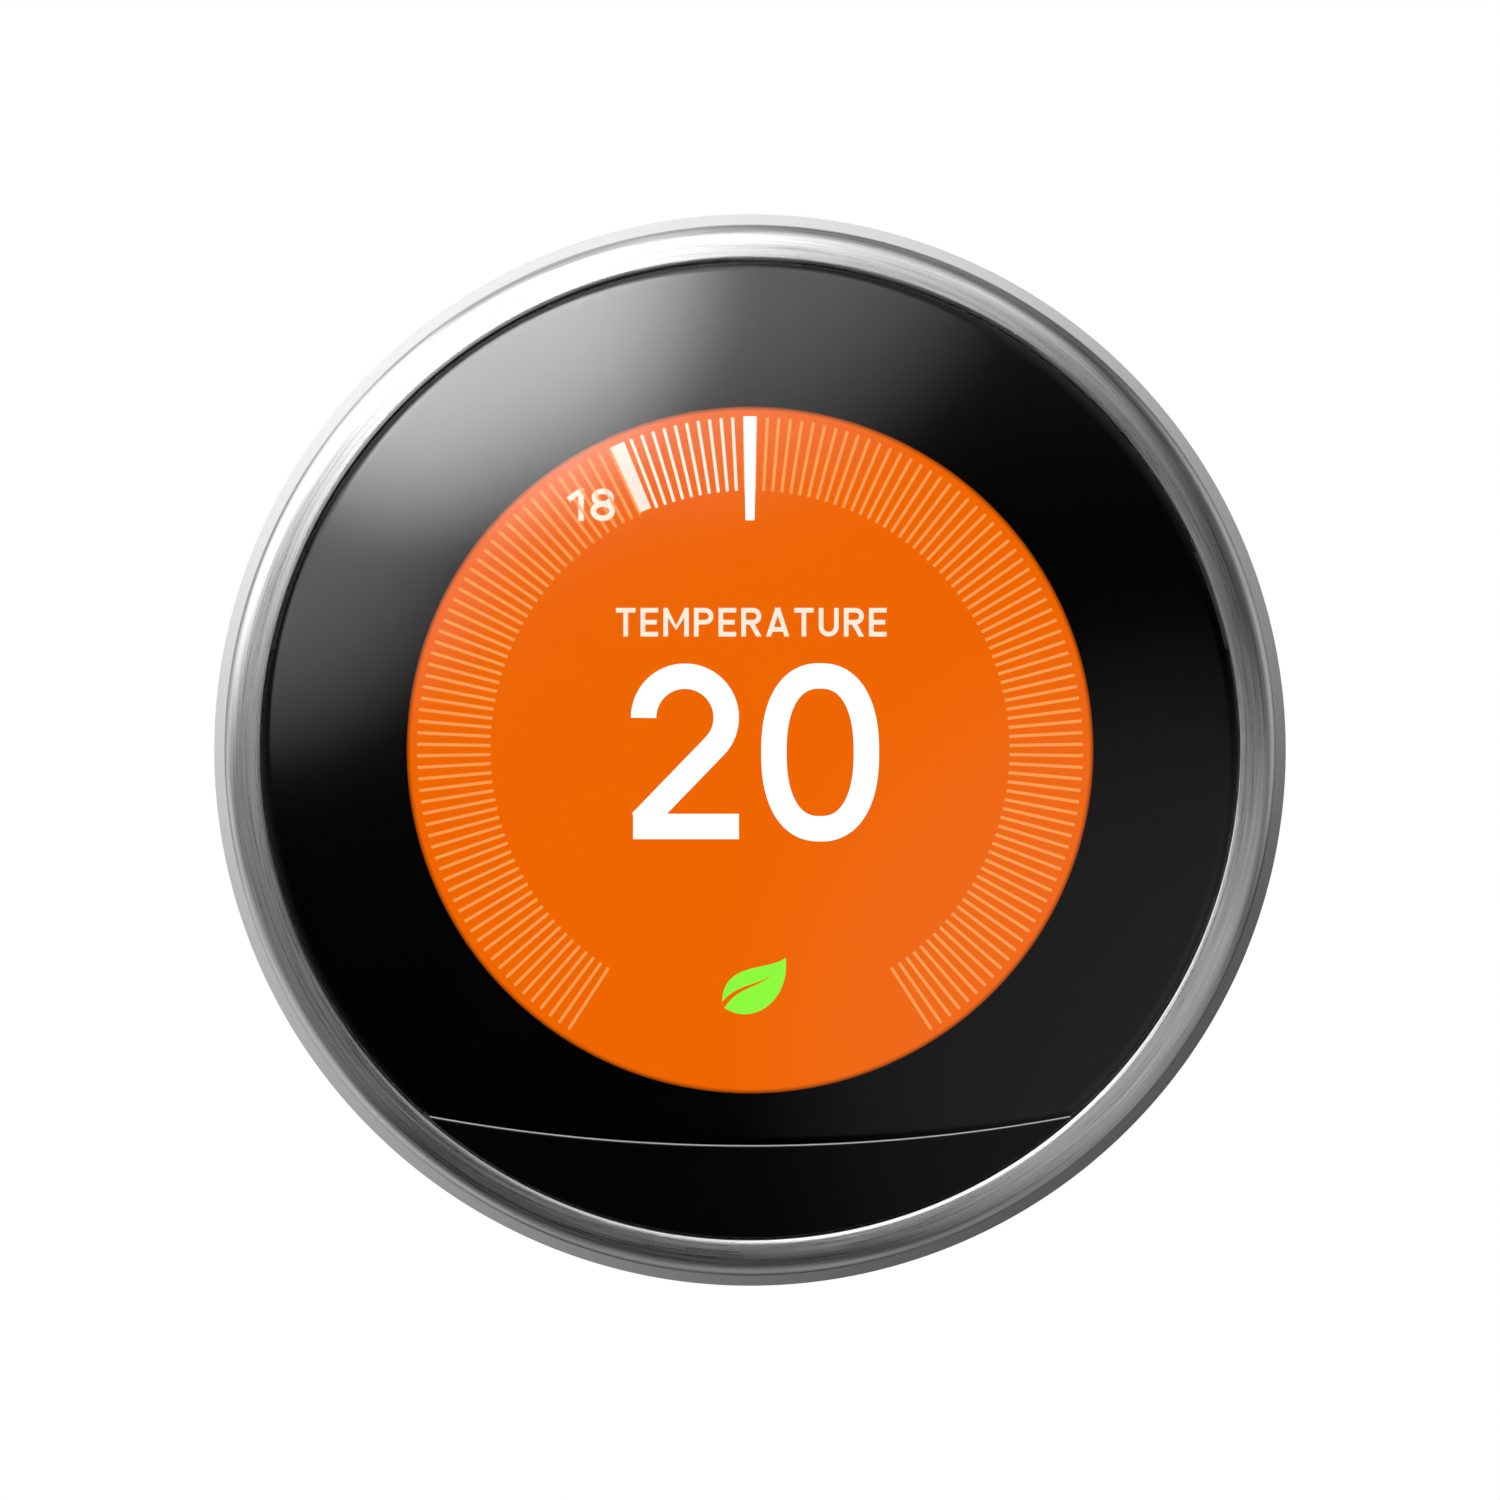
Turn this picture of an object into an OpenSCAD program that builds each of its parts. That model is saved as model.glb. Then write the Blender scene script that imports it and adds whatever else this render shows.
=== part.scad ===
// Round wall thermostat: a wall base with push-in terminals, and a head that plugs on to it.
// The head's front is a lens over a round display. A steel ring turns round the head to set
// the temperature, and the whole head can be pressed towards the wall as one big button.
//
// Every piece is drawn face on: x to the right, y up, z out of the wall, with z = 0 on the
// wall. face_on() then stands the piece up, so that the front looks along -Y.

/* [Overall] */
// Largest diameter of the turning ring
ring_d = 84; // [82:0.5:102]
// Wall face to the crown of the lens
depth = 30.8; // [30:0.1:38]
// Travel of the head when it is pressed
press_travel = 0.6; // [0.3:0.05:0.8]

/* [Turning ring] */
// Width of the ring's front band
ring_band = 2.85; // [2.4:0.05:3.6]
// How much wider the ring is at its back than at its front
ring_flare = 1.5; // [0.8:0.05:1.9]
// Wall thickness of the ring
ring_wall = 1.3; // [1:0.05:1.6]
// Height of the rounded crown that joins the band to the flank
crown_h = 2.15; // [1.7:0.05:2.6]
// Squareness of the crown: 2 is an ellipse, more is squarer
crown_power = 3; // [2:0.1:4]
// Fall of the front band towards the outside, per millimetre of its width
band_slope = 0.08; // [0:0.01:0.15]
// Bevel on the ring's inner edge
ring_bevel = 0.15; // [0.05:0.01:0.3]
// Axial length of the ring, from its front edge to its back edge
ring_length = 16.55; // [14:0.05:17]
// Number of marks on the ring's hidden encoder band
encoder_marks = 90; // [60:1:120]

/* [Lens] */
// Thickness of the lens at its centre
lens_t = 2.8; // [2:0.1:3.4]
// Fall of the lens from its centre to its edge
lens_sag = 1; // [0.4:0.05:1.2]
// Gap between the lens and the ring
lens_gap = 0.15; // [0.1:0.01:0.3]
// Radius of the curved seam between the lens and the sensor window
seam_r = 136.6; // [110:0.2:160]
// How far the seam's lowest point lies below the centre
seam_drop = 30.4; // [29:0.1:31]
// Width of the seam
seam_gap = 0.12; // [0.05:0.01:0.3]

/* [Display] */
// Diameter of the picture
display_d = 52.8; // [46:0.1:53]
// Diameter of the display panel
panel_d = 54.4; // [50:0.1:54.6]
// Thickness of the display panel
panel_t = 1.6; // [1.2:0.1:1.8]
// Thickness of the light guide behind the panel
guide_t = 1.4; // [1:0.1:1.6]

/* [Head] */
// Wall thickness of the head's frame
frame_wall = 1.4; // [1.1:0.1:1.6]
// Thickness of the circuit boards
board_t = 1; // [0.8:0.1:1.2]
// Height of the room between the main board and the display
board_room = 2.5; // [2.2:0.1:3]
// Battery width, height and thickness
battery_size = [36, 22, 4.6];
// Wall thickness of the back cover
cover_wall = 1.5; // [1.1:0.1:1.8]
// Radius of the guide posts that the head slides on
post_r = 1.5; // [1.3:0.05:1.8]

/* [Wall base] */
// Thickness of the wall plate
plate_t = 2.4; // [2:0.1:3]
// Radius of the cable hole
cable_r = 10; // [7:0.1:10.4]
// Distance between the two wall screws
screw_spacing = 60; // [59:0.1:62]
// Width of a wall screw slot
slot_w = 4.4; // [3.6:0.1:5]
// Length of a wall screw slot
slot_l = 8; // [6:0.1:8.4]
// Outer radius of the terminal deck
deck_r = 27.6; // [27:0.1:28]
// Height of the terminal deck's face above the wall
deck_h = 11; // [10.6:0.1:11.6]
// Number of terminals on each side
terminals = 5; // [3:1:5]
// Distance from one terminal to the next
terminal_pitch = 4.8; // [4.4:0.1:4.9]
// Travel of a release tab
tab_travel = 1.2; // [0.6:0.1:1.3]

/* [Hidden] */
$fn = 96;

// Clearances
slip = 0.1;        // between pieces that are pushed together by hand
running = 0.08;    // between a bore and what slides or turns in it
bond = 0.05;       // thickness of a glue film

// Ring
ring_r = ring_d / 2;
flank_r = ring_r - ring_flare;
bore_r = flank_r - ring_band;
lens_r = bore_r - lens_gap;
lens_edge_z = depth - lens_sag;
ring_proud = 0.15;
ring_front_z = lens_edge_z + ring_proud;
ring_back_z = ring_front_z - ring_length;
crown_z = ring_front_z - crown_h;
ring_lip_t = 1.1;
ring_foot_r = 1.2;
crown_steps = 14;
arc_steps = 8;

// Lens, mask and glue
lens_back_z = depth - lens_t;
lens_ball_r = (lens_r * lens_r + lens_sag * lens_sag) / (2 * lens_sag);
lens_bevel = 0.25;
dome_steps = 40;
mask_t = 0.1;
mask_inset = 0.2;
glue_t = 0.3;
glue_inset = 0.9;
seam_y = seam_r - seam_drop;

// Head frame, counted back from the lens
frame_front_z = lens_back_z - mask_t - glue_t;
frame_r = lens_r - 0.6;
frame_bore_r = frame_r - frame_wall;
frame_deck_t = 1.6;
panel_r = panel_d / 2;
cup_r = panel_r + 0.3;
cup_wall = 1.2;
panel_z = lens_back_z - 0.2 - panel_t;
guide_z = panel_z - slip - guide_t;
tray_t = 0.3;
tray_z = guide_z - bond - tray_t;
cup_floor_t = 1;
cup_z = tray_z - bond - cup_floor_t;
board_z = cup_z - board_room - board_t;
board_front_z = board_z + board_t;
board_r = frame_bore_r - 0.9;
board_screw_r = frame_bore_r - 4;
board_screw_angles = [45, 135, 225, 315];
rib_t = 1.2;
rib_angles = [for (i = [0 : 7]) 22.5 + 45 * i];

// Wall base
base_inset = 5;
base_r = ring_r - base_inset;
rim_h = 1.6;
rim_t = 1.6;
rim_z = plate_t + rim_h;
back_groove = [13, 24, 0.8];
collar_t = 0.9;
collar_h = 2.6;
seat_h = 0.4;
base_board_z = plate_t + seat_h;
base_board_front_z = base_board_z + board_t;
deck_t = 1.4;
deck_wall = 1.4;
deck_flat = deck_r - 2.4;
base_board_r = deck_r - deck_wall - 0.7;
base_board_flat = deck_flat - deck_wall - 0.3;
board_ledge = 1.5;
deck_back_z = deck_h - deck_t;
deck_screw_r = 22.6;
deck_screw_angles = [50, 130, 230, 310];
deck_boss_r = 2.3;
deck_pilot_r = 0.85;
wire_well = [23.4, 25, 3];

// Terminals
pocket = [8.2, terminal_pitch - 0.6];
block_w = 11;
block_x = wire_well[0] / 2 + 0.5;
block_y = terminals * terminal_pitch + 0.6;
block_floor_t = 0.6;
block_top_z = deck_back_z - 0.4;
pocket_x = block_x + 1.6 + pocket[0] / 2;
pocket_z = base_board_front_z + block_floor_t;
clamp_h = 1.1;
wire_mouth = [pocket[1] - 1.6, 2.4];
tab_foot = [pocket[0] - 0.6, pocket[1] - 0.3];
tab_neck = [tab_foot[0] - 0.8, tab_foot[1] - 0.7];
tab_slot_gap = 0.2;
tab_proud = 0.5;
tab_foot_z = pocket_z + clamp_h + tab_travel + slip;

// Level
level_y = 20.2;
level_r = 2.6;
level_bore_r = 1.9;
level_l = 14;
level_cap_t = 1;
level_z = deck_h - level_r;

// Socket and plug
plug_y = -18.6;
plug_pins = [10, 2];
pin_pitch = 1.27;
pin_w = 0.5;
socket_size = [17, 6];
socket_cavity = [14.4, 4];
socket_floor_t = 2;
plug_size = [socket_cavity[0] - 2 * slip, socket_cavity[1] - 2 * slip];
plug_hole_w = pin_w + 2 * slip;

// Back cover
cover_gap = 0.6;
cover_z = rim_z + cover_gap;
cover_floor_z = cover_z + 1.4;
recess_r = deck_r + 0.6;
recess_wall = 1.3;
recess_z = deck_h + 1;
recess_floor_t = 1.2;
recess_front_z = recess_z + recess_floor_t;
cover_front_z = ring_back_z + 0.6;
cover_front_r = ring_r - ring_wall - 1.3;
post_angles = [90, 210, 330];
post_boss_r = 2.9;
post_boss_z = cover_floor_z + 2;
lug_z = cover_front_z + 0.6;
lug_t = 2.4;
frame_back_z = lug_z - 0.3;
lug_r = 3.3;
post_top_z = lug_z + lug_t + 0.02;
shoulder_head = [2.6, 1];
post_place_r = frame_bore_r - shoulder_head[0] - 0.2;
shoulder_shank = [0.75, 5];
spring_wire_r = 0.22;
spring_r = 2.3;
spring_turns = 5;
usb_size = [7.6, 2.7];
usb_place = [-17, -9];
usb_mouth_z = recess_front_z + press_travel + 0.3;

// Switch that the head's travel works
switch_place = [0, -5];
switch_size = [6, 6, 3.2];
plunger_r = 1.7;
plunger_play = 0.3;
plunger_top_z = board_z - switch_size[2] + 0.7;

// Ring bearing and encoder
carrier_r = frame_r + 1;
carrier_back_z = cover_front_z + 1.2;
carrier_front_z = frame_front_z - 0.6;
rail_h = 1.4;
rail_z = board_front_z + 1.5;
rail_depth = 0.55;
pad_angles = [for (i = [0 : 4]) 90 + 72 * i];
pad_sweep = 12;
pad_z = rail_z - 2.2;
pad_h = 5.8;
pad_seat = 0.7;
encoder_z = carrier_back_z + 0.4;
encoder_h = board_z - encoder_z - 0.4;
encoder_depth = 0.25;
ring_sensor_angle = 270;
ring_sensor_w = 6;

// Sensors behind the window
motion_r = 3.1;
motion_flange_r = 3.35;
motion_place_r = (cup_r + cup_wall + frame_bore_r) / 2;
motion_top_z = frame_front_z - 1;
motion_lens_r = motion_r + 0.45;
motion_lens_t = 0.5;
chip_sensor = [3, 2, 0.7];
chip_sensor_x = 10;
chip_sensor_y = -31.6;

// ---------------------------------------------------------------- shared shapes

module face_on() {
    rotate([90, 0, 0]) children();
}

module polar(r, angle) {
    rotate([0, 0, angle]) translate([r, 0, 0]) children();
}

module disc(r, z0, z1) {
    translate([0, 0, z0]) cylinder(r = r, h = z1 - z0);
}

module tube(r_out, r_in, z0, z1) {
    difference() {
        disc(r_out, z0, z1);
        disc(r_in, z0 - 1, z1 + 1);
    }
}

module box(size, z0, z1) {
    translate([-size[0] / 2, -size[1] / 2, z0]) cube([size[0], size[1], z1 - z0]);
}

module rounded_rect(size, r) {
    square([size[0], size[1] - 2 * r], center = true);
    square([size[0] - 2 * r, size[1]], center = true);
    for (x = [-1, 1], y = [-1, 1])
        translate([x * (size[0] / 2 - r), y * (size[1] / 2 - r)]) circle(r = r);
}

module rounded_box(size, r, z0, z1) {
    translate([0, 0, z0]) linear_extrude(z1 - z0) rounded_rect(size, r);
}

// A pie of a ring, centred on the angle
module ring_part(r_out, r_in, z0, z1, angle, sweep) {
    rotate([0, 0, angle - sweep / 2]) rotate_extrude(angle = sweep)
        translate([r_in, z0]) square([r_out - r_in, z1 - z0]);
}

// A screw whose head's underside is at z, with its shank running towards +z
module screw(head, shank, z) {
    difference() {
        union() {
            disc(head[0], z - head[1], z);
            disc(shank[0], z - slip, z + shank[1]);
        }
        for (a = [0, 90])
            rotate([0, 0, a]) box([head[0] * 1.1, head[0] * 0.28], z - head[1] - 1, z - head[1] * 0.5);
    }
}

// A flat strip of thickness t along a list of points, as an outline
function strip_side(p, t, side) = [for (i = [0 : len(p) - 1])
    let (a = p[max(i - 1, 0)], b = p[min(i + 1, len(p) - 1)], d = b - a, n = norm(d))
    p[i] + side * t / 2 * [-d[1], d[0]] / n];
function reversed(p) = [for (i = [len(p) - 1 : -1 : 0]) p[i]];
function strip(p, t) = concat(strip_side(p, t, 1), reversed(strip_side(p, t, -1)));

// Points of a quarter turn about c, from angle a0 to a1
function arc(c, r, a0, a1, steps) = [for (i = [0 : steps])
    let (a = a0 + (a1 - a0) * i / steps) c + r * [cos(a), sin(a)]];

// Draws its children looking along x, for outlines whose plane is y and z
module across(width) {
    rotate([90, 0, 90]) translate([0, 0, -width / 2]) linear_extrude(width) children();
}

module seam_side(offset) {
    translate([0, seam_y, lens_back_z - 5]) cylinder(r = seam_r + offset, h = depth, $fn = 256);
}

// ---------------------------------------------------------------- turning ring

// Superellipse from the band's inner edge to the top of the flank
function crown() = [for (i = [0 : crown_steps])
    let (t = 90 * i / crown_steps,
         across = (flank_r - bore_r - ring_bevel) * pow(sin(t), 2 / crown_power),
         up = crown_h * pow(cos(t), 2 / crown_power))
    [bore_r + ring_bevel + across, crown_z + up - band_slope * across * up / crown_h]];

function ring_inner_r(z) = ring_r - ring_wall
    - ring_flare * (z - ring_back_z) / (crown_z - ring_back_z);

module outer_ring() {
    inner_top_z = ring_front_z - ring_lip_t;
    color([0.72, 0.72, 0.73]) face_on() rotate_extrude() polygon(concat(
        [[bore_r, inner_top_z], [bore_r, ring_front_z - ring_bevel]],
        crown(),
        arc([ring_r - ring_foot_r, ring_back_z + ring_foot_r], ring_foot_r, 0, -90, arc_steps),
        [[ring_r - ring_wall, ring_back_z + bond],
         [ring_inner_r(crown_z - 0.4), crown_z - 0.4],
         [ring_inner_r(crown_z - 0.4) - 0.5, inner_top_z]]));
}

module ring_carrier() {
    color([0.9, 0.9, 0.88]) face_on() difference() {
        rotate_extrude() polygon([
            [carrier_r, carrier_back_z],
            [ring_inner_r(carrier_back_z) - bond, carrier_back_z],
            [ring_inner_r(carrier_front_z) - bond, carrier_front_z],
            [carrier_r, carrier_front_z],
            [carrier_r, rail_z + rail_h],
            [carrier_r - rail_depth, rail_z + rail_h],
            [carrier_r - rail_depth, rail_z],
            [carrier_r, rail_z]]);
        for (i = [0 : encoder_marks - 1])
            polar(carrier_r, i * 360 / encoder_marks)
                box([2 * encoder_depth, carrier_r * PI / encoder_marks], encoder_z, encoder_z + encoder_h);
    }
}

// ---------------------------------------------------------------- lens and display

function dome_z(r) = depth - lens_ball_r + sqrt(lens_ball_r * lens_ball_r - r * r);

module lens_blank() {
    rim_r = lens_r - lens_bevel;
    rotate_extrude() polygon(concat(
        [[0, lens_back_z]],
        [[lens_r, lens_back_z], [lens_r, dome_z(rim_r) - lens_bevel]],
        [for (i = [dome_steps : -1 : 0]) let (r = rim_r * i / dome_steps) [r, dome_z(r)]]));
}

module front_lens() {
    color([0.85, 0.88, 0.9, 0.3]) face_on() intersection() {
        lens_blank();
        seam_side(-seam_gap / 2);
    }
}

module sensor_window() {
    color([0.05, 0.05, 0.05]) face_on() difference() {
        lens_blank();
        seam_side(seam_gap / 2);
    }
}

module lens_mask() {
    color([0.02, 0.02, 0.02]) face_on() intersection() {
        tube(lens_r - mask_inset, display_d / 2, lens_back_z - mask_t, lens_back_z);
        seam_side(-seam_gap / 2);
    }
}

module lens_adhesive() {
    color([0.15, 0.15, 0.15]) face_on() difference() {
        tube(frame_r - glue_inset, cup_r + cup_wall, frame_front_z, frame_front_z + glue_t);
        sensor_openings(slip);
        display_flex_room();
    }
}

module display_panel() {
    color([0.94, 0.4, 0]) face_on() disc(panel_r, panel_z, panel_z + panel_t);
}

module light_guide() {
    color([0.96, 0.96, 0.94]) face_on()
        disc(panel_r - tray_t - slip, guide_z, guide_z + guide_t);
}

module backlight_tray() {
    color([0.75, 0.75, 0.76]) face_on() difference() {
        disc(panel_r, tray_z, guide_z + guide_t);
        disc(panel_r - tray_t, tray_z + tray_t, panel_z);
    }
}

// Half turn of ribbon that leaves the panel's edge and comes back under the display
flex_bulge = 3.1;
flex_top_z = panel_z + 0.4;
flex_foot_z = board_front_z + 0.25;
flex_y = panel_r + bond;
flex_w = 9.6;
flex_t = 0.2;

function flex_bend() = [for (i = [0 : 16]) let (a = 90 - 180 * i / 16)
    [flex_y + flex_bulge * cos(a),
     (flex_top_z + flex_foot_z) / 2 + (flex_top_z - flex_foot_z) / 2 * sin(a)]];

module display_flex() {
    color([0.85, 0.5, 0.1]) face_on() across(flex_w) polygon(strip(flex_bend(), flex_t));
}

module display_flex_room() {
    translate([0, flex_y + flex_bulge / 2, 0])
        box([flex_w + 1.4, flex_bulge + 1.6], board_front_z, flex_top_z + 0.5);
}

// ---------------------------------------------------------------- head frame and what it holds

module sensor_openings(gap) {
    polar(motion_place_r, 270) disc(motion_lens_r + gap, motion_top_z, depth);
    polar(motion_place_r, 270) disc(motion_flange_r + slip, board_front_z, motion_top_z + 1);
    for (side = [-1, 1])
        translate([side * chip_sensor_x, chip_sensor_y, 0])
            box([chip_sensor[0] + 4 * gap, chip_sensor[1] + 4 * gap],
                frame_front_z - chip_sensor[2] - slip, depth);
}

module frame_lug(angle) {
    intersection() {
        rotate([0, 0, angle]) translate([post_place_r, 0, lug_z]) linear_extrude(lug_t) {
            circle(r = lug_r);
            translate([0, -lug_r]) square([frame_r, 2 * lug_r]);
        }
        disc(frame_bore_r + frame_wall / 2, lug_z - 1, lug_z + lug_t + 1);
    }
}

module head_frame() {
    color([0.12, 0.12, 0.13]) face_on() difference() {
        union() {
            tube(frame_r, frame_bore_r, frame_back_z, frame_front_z);
            tube(frame_r, cup_r, frame_front_z - frame_deck_t, frame_front_z);
            tube(cup_r + cup_wall, cup_r, cup_z, frame_front_z);
            disc(cup_r + cup_wall, cup_z, cup_z + cup_floor_t);
            for (a = rib_angles)
                rotate([0, 0, a]) translate([cup_r + bond, -rib_t / 2, cup_z])
                    cube([frame_bore_r - cup_r, rib_t, frame_front_z - cup_z - bond]);
            for (a = board_screw_angles)
                polar(board_screw_r, a) disc(2.1, board_front_z, frame_front_z - bond);
            for (a = post_angles) frame_lug(a);
        }
        for (a = board_screw_angles)
            polar(board_screw_r, a) disc(0.8, board_front_z - 1, board_front_z + 3.4);
        for (a = post_angles)
            polar(post_place_r, a) disc(post_r + running, lug_z - 1, lug_z + lug_t + 1);
        for (a = pad_angles)
            ring_part(frame_r + 1, frame_r - pad_seat, pad_z - slip, pad_z + pad_h + slip, a, pad_sweep + 0.4);
        polar(frame_bore_r, ring_sensor_angle)
            box([4 * frame_wall, ring_sensor_w + 0.8], frame_back_z - 1, board_z + 0.2);
        sensor_openings(slip);
        display_flex_room();
    }
}

module ring_bearing_pads() {
    color([0.95, 0.95, 0.93]) face_on() for (a = pad_angles) difference() {
        ring_part(carrier_r - running, frame_r - pad_seat + bond, pad_z, pad_z + pad_h, a, pad_sweep);
        ring_part(carrier_r + 1, carrier_r - rail_depth - slip, rail_z - slip,
                  rail_z + rail_h + slip, a, pad_sweep + 4);
    }
}

module main_board() {
    color([0.05, 0.3, 0.15]) face_on() difference() {
        disc(board_r, board_z, board_front_z);
        for (a = board_screw_angles)
            polar(board_screw_r, a) disc(0.95, board_z - 1, board_front_z + 1);
    }
}

module board_screws() {
    color([0.6, 0.6, 0.62]) face_on() for (a = board_screw_angles)
        polar(board_screw_r, a) screw([1.5, 0.9], [0.75, 4], board_z);
}

// Packages on the front of the main board: x, y, width, height, thickness
packages = [[-6, 6, 11, 11, 1.2], [7, 9, 8, 10, 1], [7, -1, 6, 6, 0.9],
            [-6, -4, 5, 5, 0.8], [1, -4.6, 2.6, 2, 0.7], [0, 25.3, 9.6, 3, 1]];

module board_chips() {
    color([0.1, 0.1, 0.1]) face_on() for (p = packages)
        translate([p[0], p[1], 0]) box([p[2], p[3]], board_front_z, board_front_z + p[4]);
}

module shield_can() {
    can = [30, 26];
    can_h = 1.9;
    sheet = 0.2;
    color([0.8, 0.8, 0.82]) face_on() translate([0, 4, 0]) difference() {
        rounded_box(can, 1, board_front_z, board_front_z + can_h);
        rounded_box(can - [2 * sheet, 2 * sheet], 1 - sheet, board_front_z - 1, board_front_z + can_h - sheet);
    }
}

module antenna() {
    color([0.85, 0.83, 0.78]) face_on() polar(board_r - 2.6, 0) {
        box([3.4, 15], board_front_z, board_front_z + 1.8);
        for (side = [-1, 1]) translate([0, side * 5, 0])
            box([2.2, 3], board_front_z, board_front_z + 2.1);
    }
}

battery_place = [2, 13];
battery_z = board_z - battery_size[2];

module battery() {
    color([0.72, 0.73, 0.75]) face_on() translate([battery_place[0], battery_place[1], 0]) {
        rounded_box([battery_size[0], battery_size[1]], 1.4, battery_z, battery_z + battery_size[2]);
        // the folded end that carries the protection strip
        translate([-battery_size[0] / 2 - 0.9, 0, 0])
            box([1.8 + bond, battery_size[1] - 5], battery_z + 1.2, battery_z + 3.2);
    }
}

module rod(from, to, r) {
    d = to - from;
    translate(from) rotate([0, acos(d[2] / norm(d)), atan2(d[1], d[0])])
        cylinder(r = r, h = norm(d), $fn = 24);
    translate(to) sphere(r = r + lead_bulge, $fn = 24);
}

lead_r = 0.45;
lead_bulge = 0.05;
lead_plug = [5, 3.2, 1.8];
lead_plug_place = [-22, -1];

module battery_lead() {
    x = battery_place[0] - battery_size[0] / 2 - 1.8 - lead_r - 0.1;
    y = battery_place[1] - 5;
    z = battery_z + 2.2;
    color([0.7, 0.08, 0.06]) face_on() {
        for (side = [-1, 1]) {
            top = [x - (side + 1) * 0.6, y + 3, z];
            bend = [x - (side + 1) * 0.6, y - 1, z + 0.6];
            foot = [lead_plug_place[0] + side * 0.9, lead_plug_place[1] + lead_plug[1] / 2 - 0.2,
                    board_z - lead_plug[2] / 2];
            translate(top) sphere(r = lead_r + lead_bulge, $fn = 24);
            rod(top, bend, lead_r);
            rod(bend, foot, lead_r);
        }
        translate([lead_plug_place[0], lead_plug_place[1], 0])
            box([lead_plug[0], lead_plug[1]], board_z - lead_plug[2], board_z);
    }
}

module motion_sensor() {
    color([0.78, 0.76, 0.7]) face_on() polar(motion_place_r, 270) difference() {
        union() {
            disc(motion_flange_r, board_front_z, board_front_z + 0.6);
            disc(motion_r, board_front_z, motion_top_z - 0.1);
        }
        box([3, 3], motion_top_z - 0.4, motion_top_z + 1);
    }
}

module motion_lens() {
    color([0.92, 0.93, 0.92]) face_on() polar(motion_place_r, 270) difference() {
        disc(motion_lens_r, motion_top_z + bond, motion_top_z + bond + motion_lens_t);
        for (r = [0.9, 1.7, 2.5])
            tube(r + 0.12, r, motion_top_z + bond + motion_lens_t - 0.15, depth);
    }
}

module chip_on_ledge(side) {
    translate([side * chip_sensor_x, chip_sensor_y, 0]) difference() {
        box([chip_sensor[0], chip_sensor[1]], frame_front_z - chip_sensor[2] - slip, frame_front_z - slip);
        translate([0.6, 0, 0]) disc(0.35, frame_front_z - 2 * slip, depth);
    }
}

module light_sensor() {
    color([0.2, 0.2, 0.22]) face_on() chip_on_ledge(1);
}

module proximity_sensor() {
    color([0.3, 0.28, 0.28]) face_on() chip_on_ledge(-1);
}

module buzzer() {
    color([0.08, 0.08, 0.08]) face_on() translate([20, -10, 0]) difference() {
        disc(4.5, board_z - 1.9, board_z);
        disc(0.7, board_z - 3, board_z - 1);
    }
}

module click_switch() {
    color([0.15, 0.15, 0.16]) face_on() translate([switch_place[0], switch_place[1], 0]) difference() {
        box([switch_size[0], switch_size[1]], board_z - switch_size[2], board_z);
        disc(plunger_r + running, board_z - switch_size[2] - 1, plunger_top_z + press_travel + plunger_play);
    }
}

module click_plunger() {
    color([0.85, 0.8, 0.6]) face_on() translate([switch_place[0], switch_place[1], 0])
        disc(plunger_r, recess_front_z, plunger_top_z);
}

module ring_sensor() {
    sensor_r0 = board_r - 3;
    sensor_r1 = frame_r - 0.4;
    color([0.1, 0.1, 0.12]) face_on() rotate([0, 0, ring_sensor_angle]) difference() {
        translate([sensor_r0, -ring_sensor_w / 2, board_z - 3.4])
            cube([sensor_r1 - sensor_r0, ring_sensor_w, 3.4]);
        translate([sensor_r1, 0, board_z - 1.7]) box([0.8, 3], -0.9, 0.9);
    }
}

module usb_port() {
    color([0.75, 0.75, 0.76]) face_on() translate([usb_place[0], usb_place[1], 0]) {
        difference() {
            box(usb_size, usb_mouth_z, board_z);
            box(usb_size - [0.6, 0.6], usb_mouth_z - 1, board_z - 0.6);
        }
        box([usb_size[0] - 2.6, 0.7], usb_mouth_z + 0.6, board_z - 0.3);
    }
}

module plug_flex_path() {
    polygon(strip([for (i = [0 : 16]) let (s = i / 16)
        [plug_y + 4.4 - 1.6 * cos(180 * s),
         recess_front_z + board_t + 0.1 + (board_z - recess_front_z - board_t - 0.15) * s]], flex_t));
}

module plug_flex() {
    color([0.85, 0.5, 0.1]) face_on() across(12) plug_flex_path();
}

// ---------------------------------------------------------------- back cover and its spring posts

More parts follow.
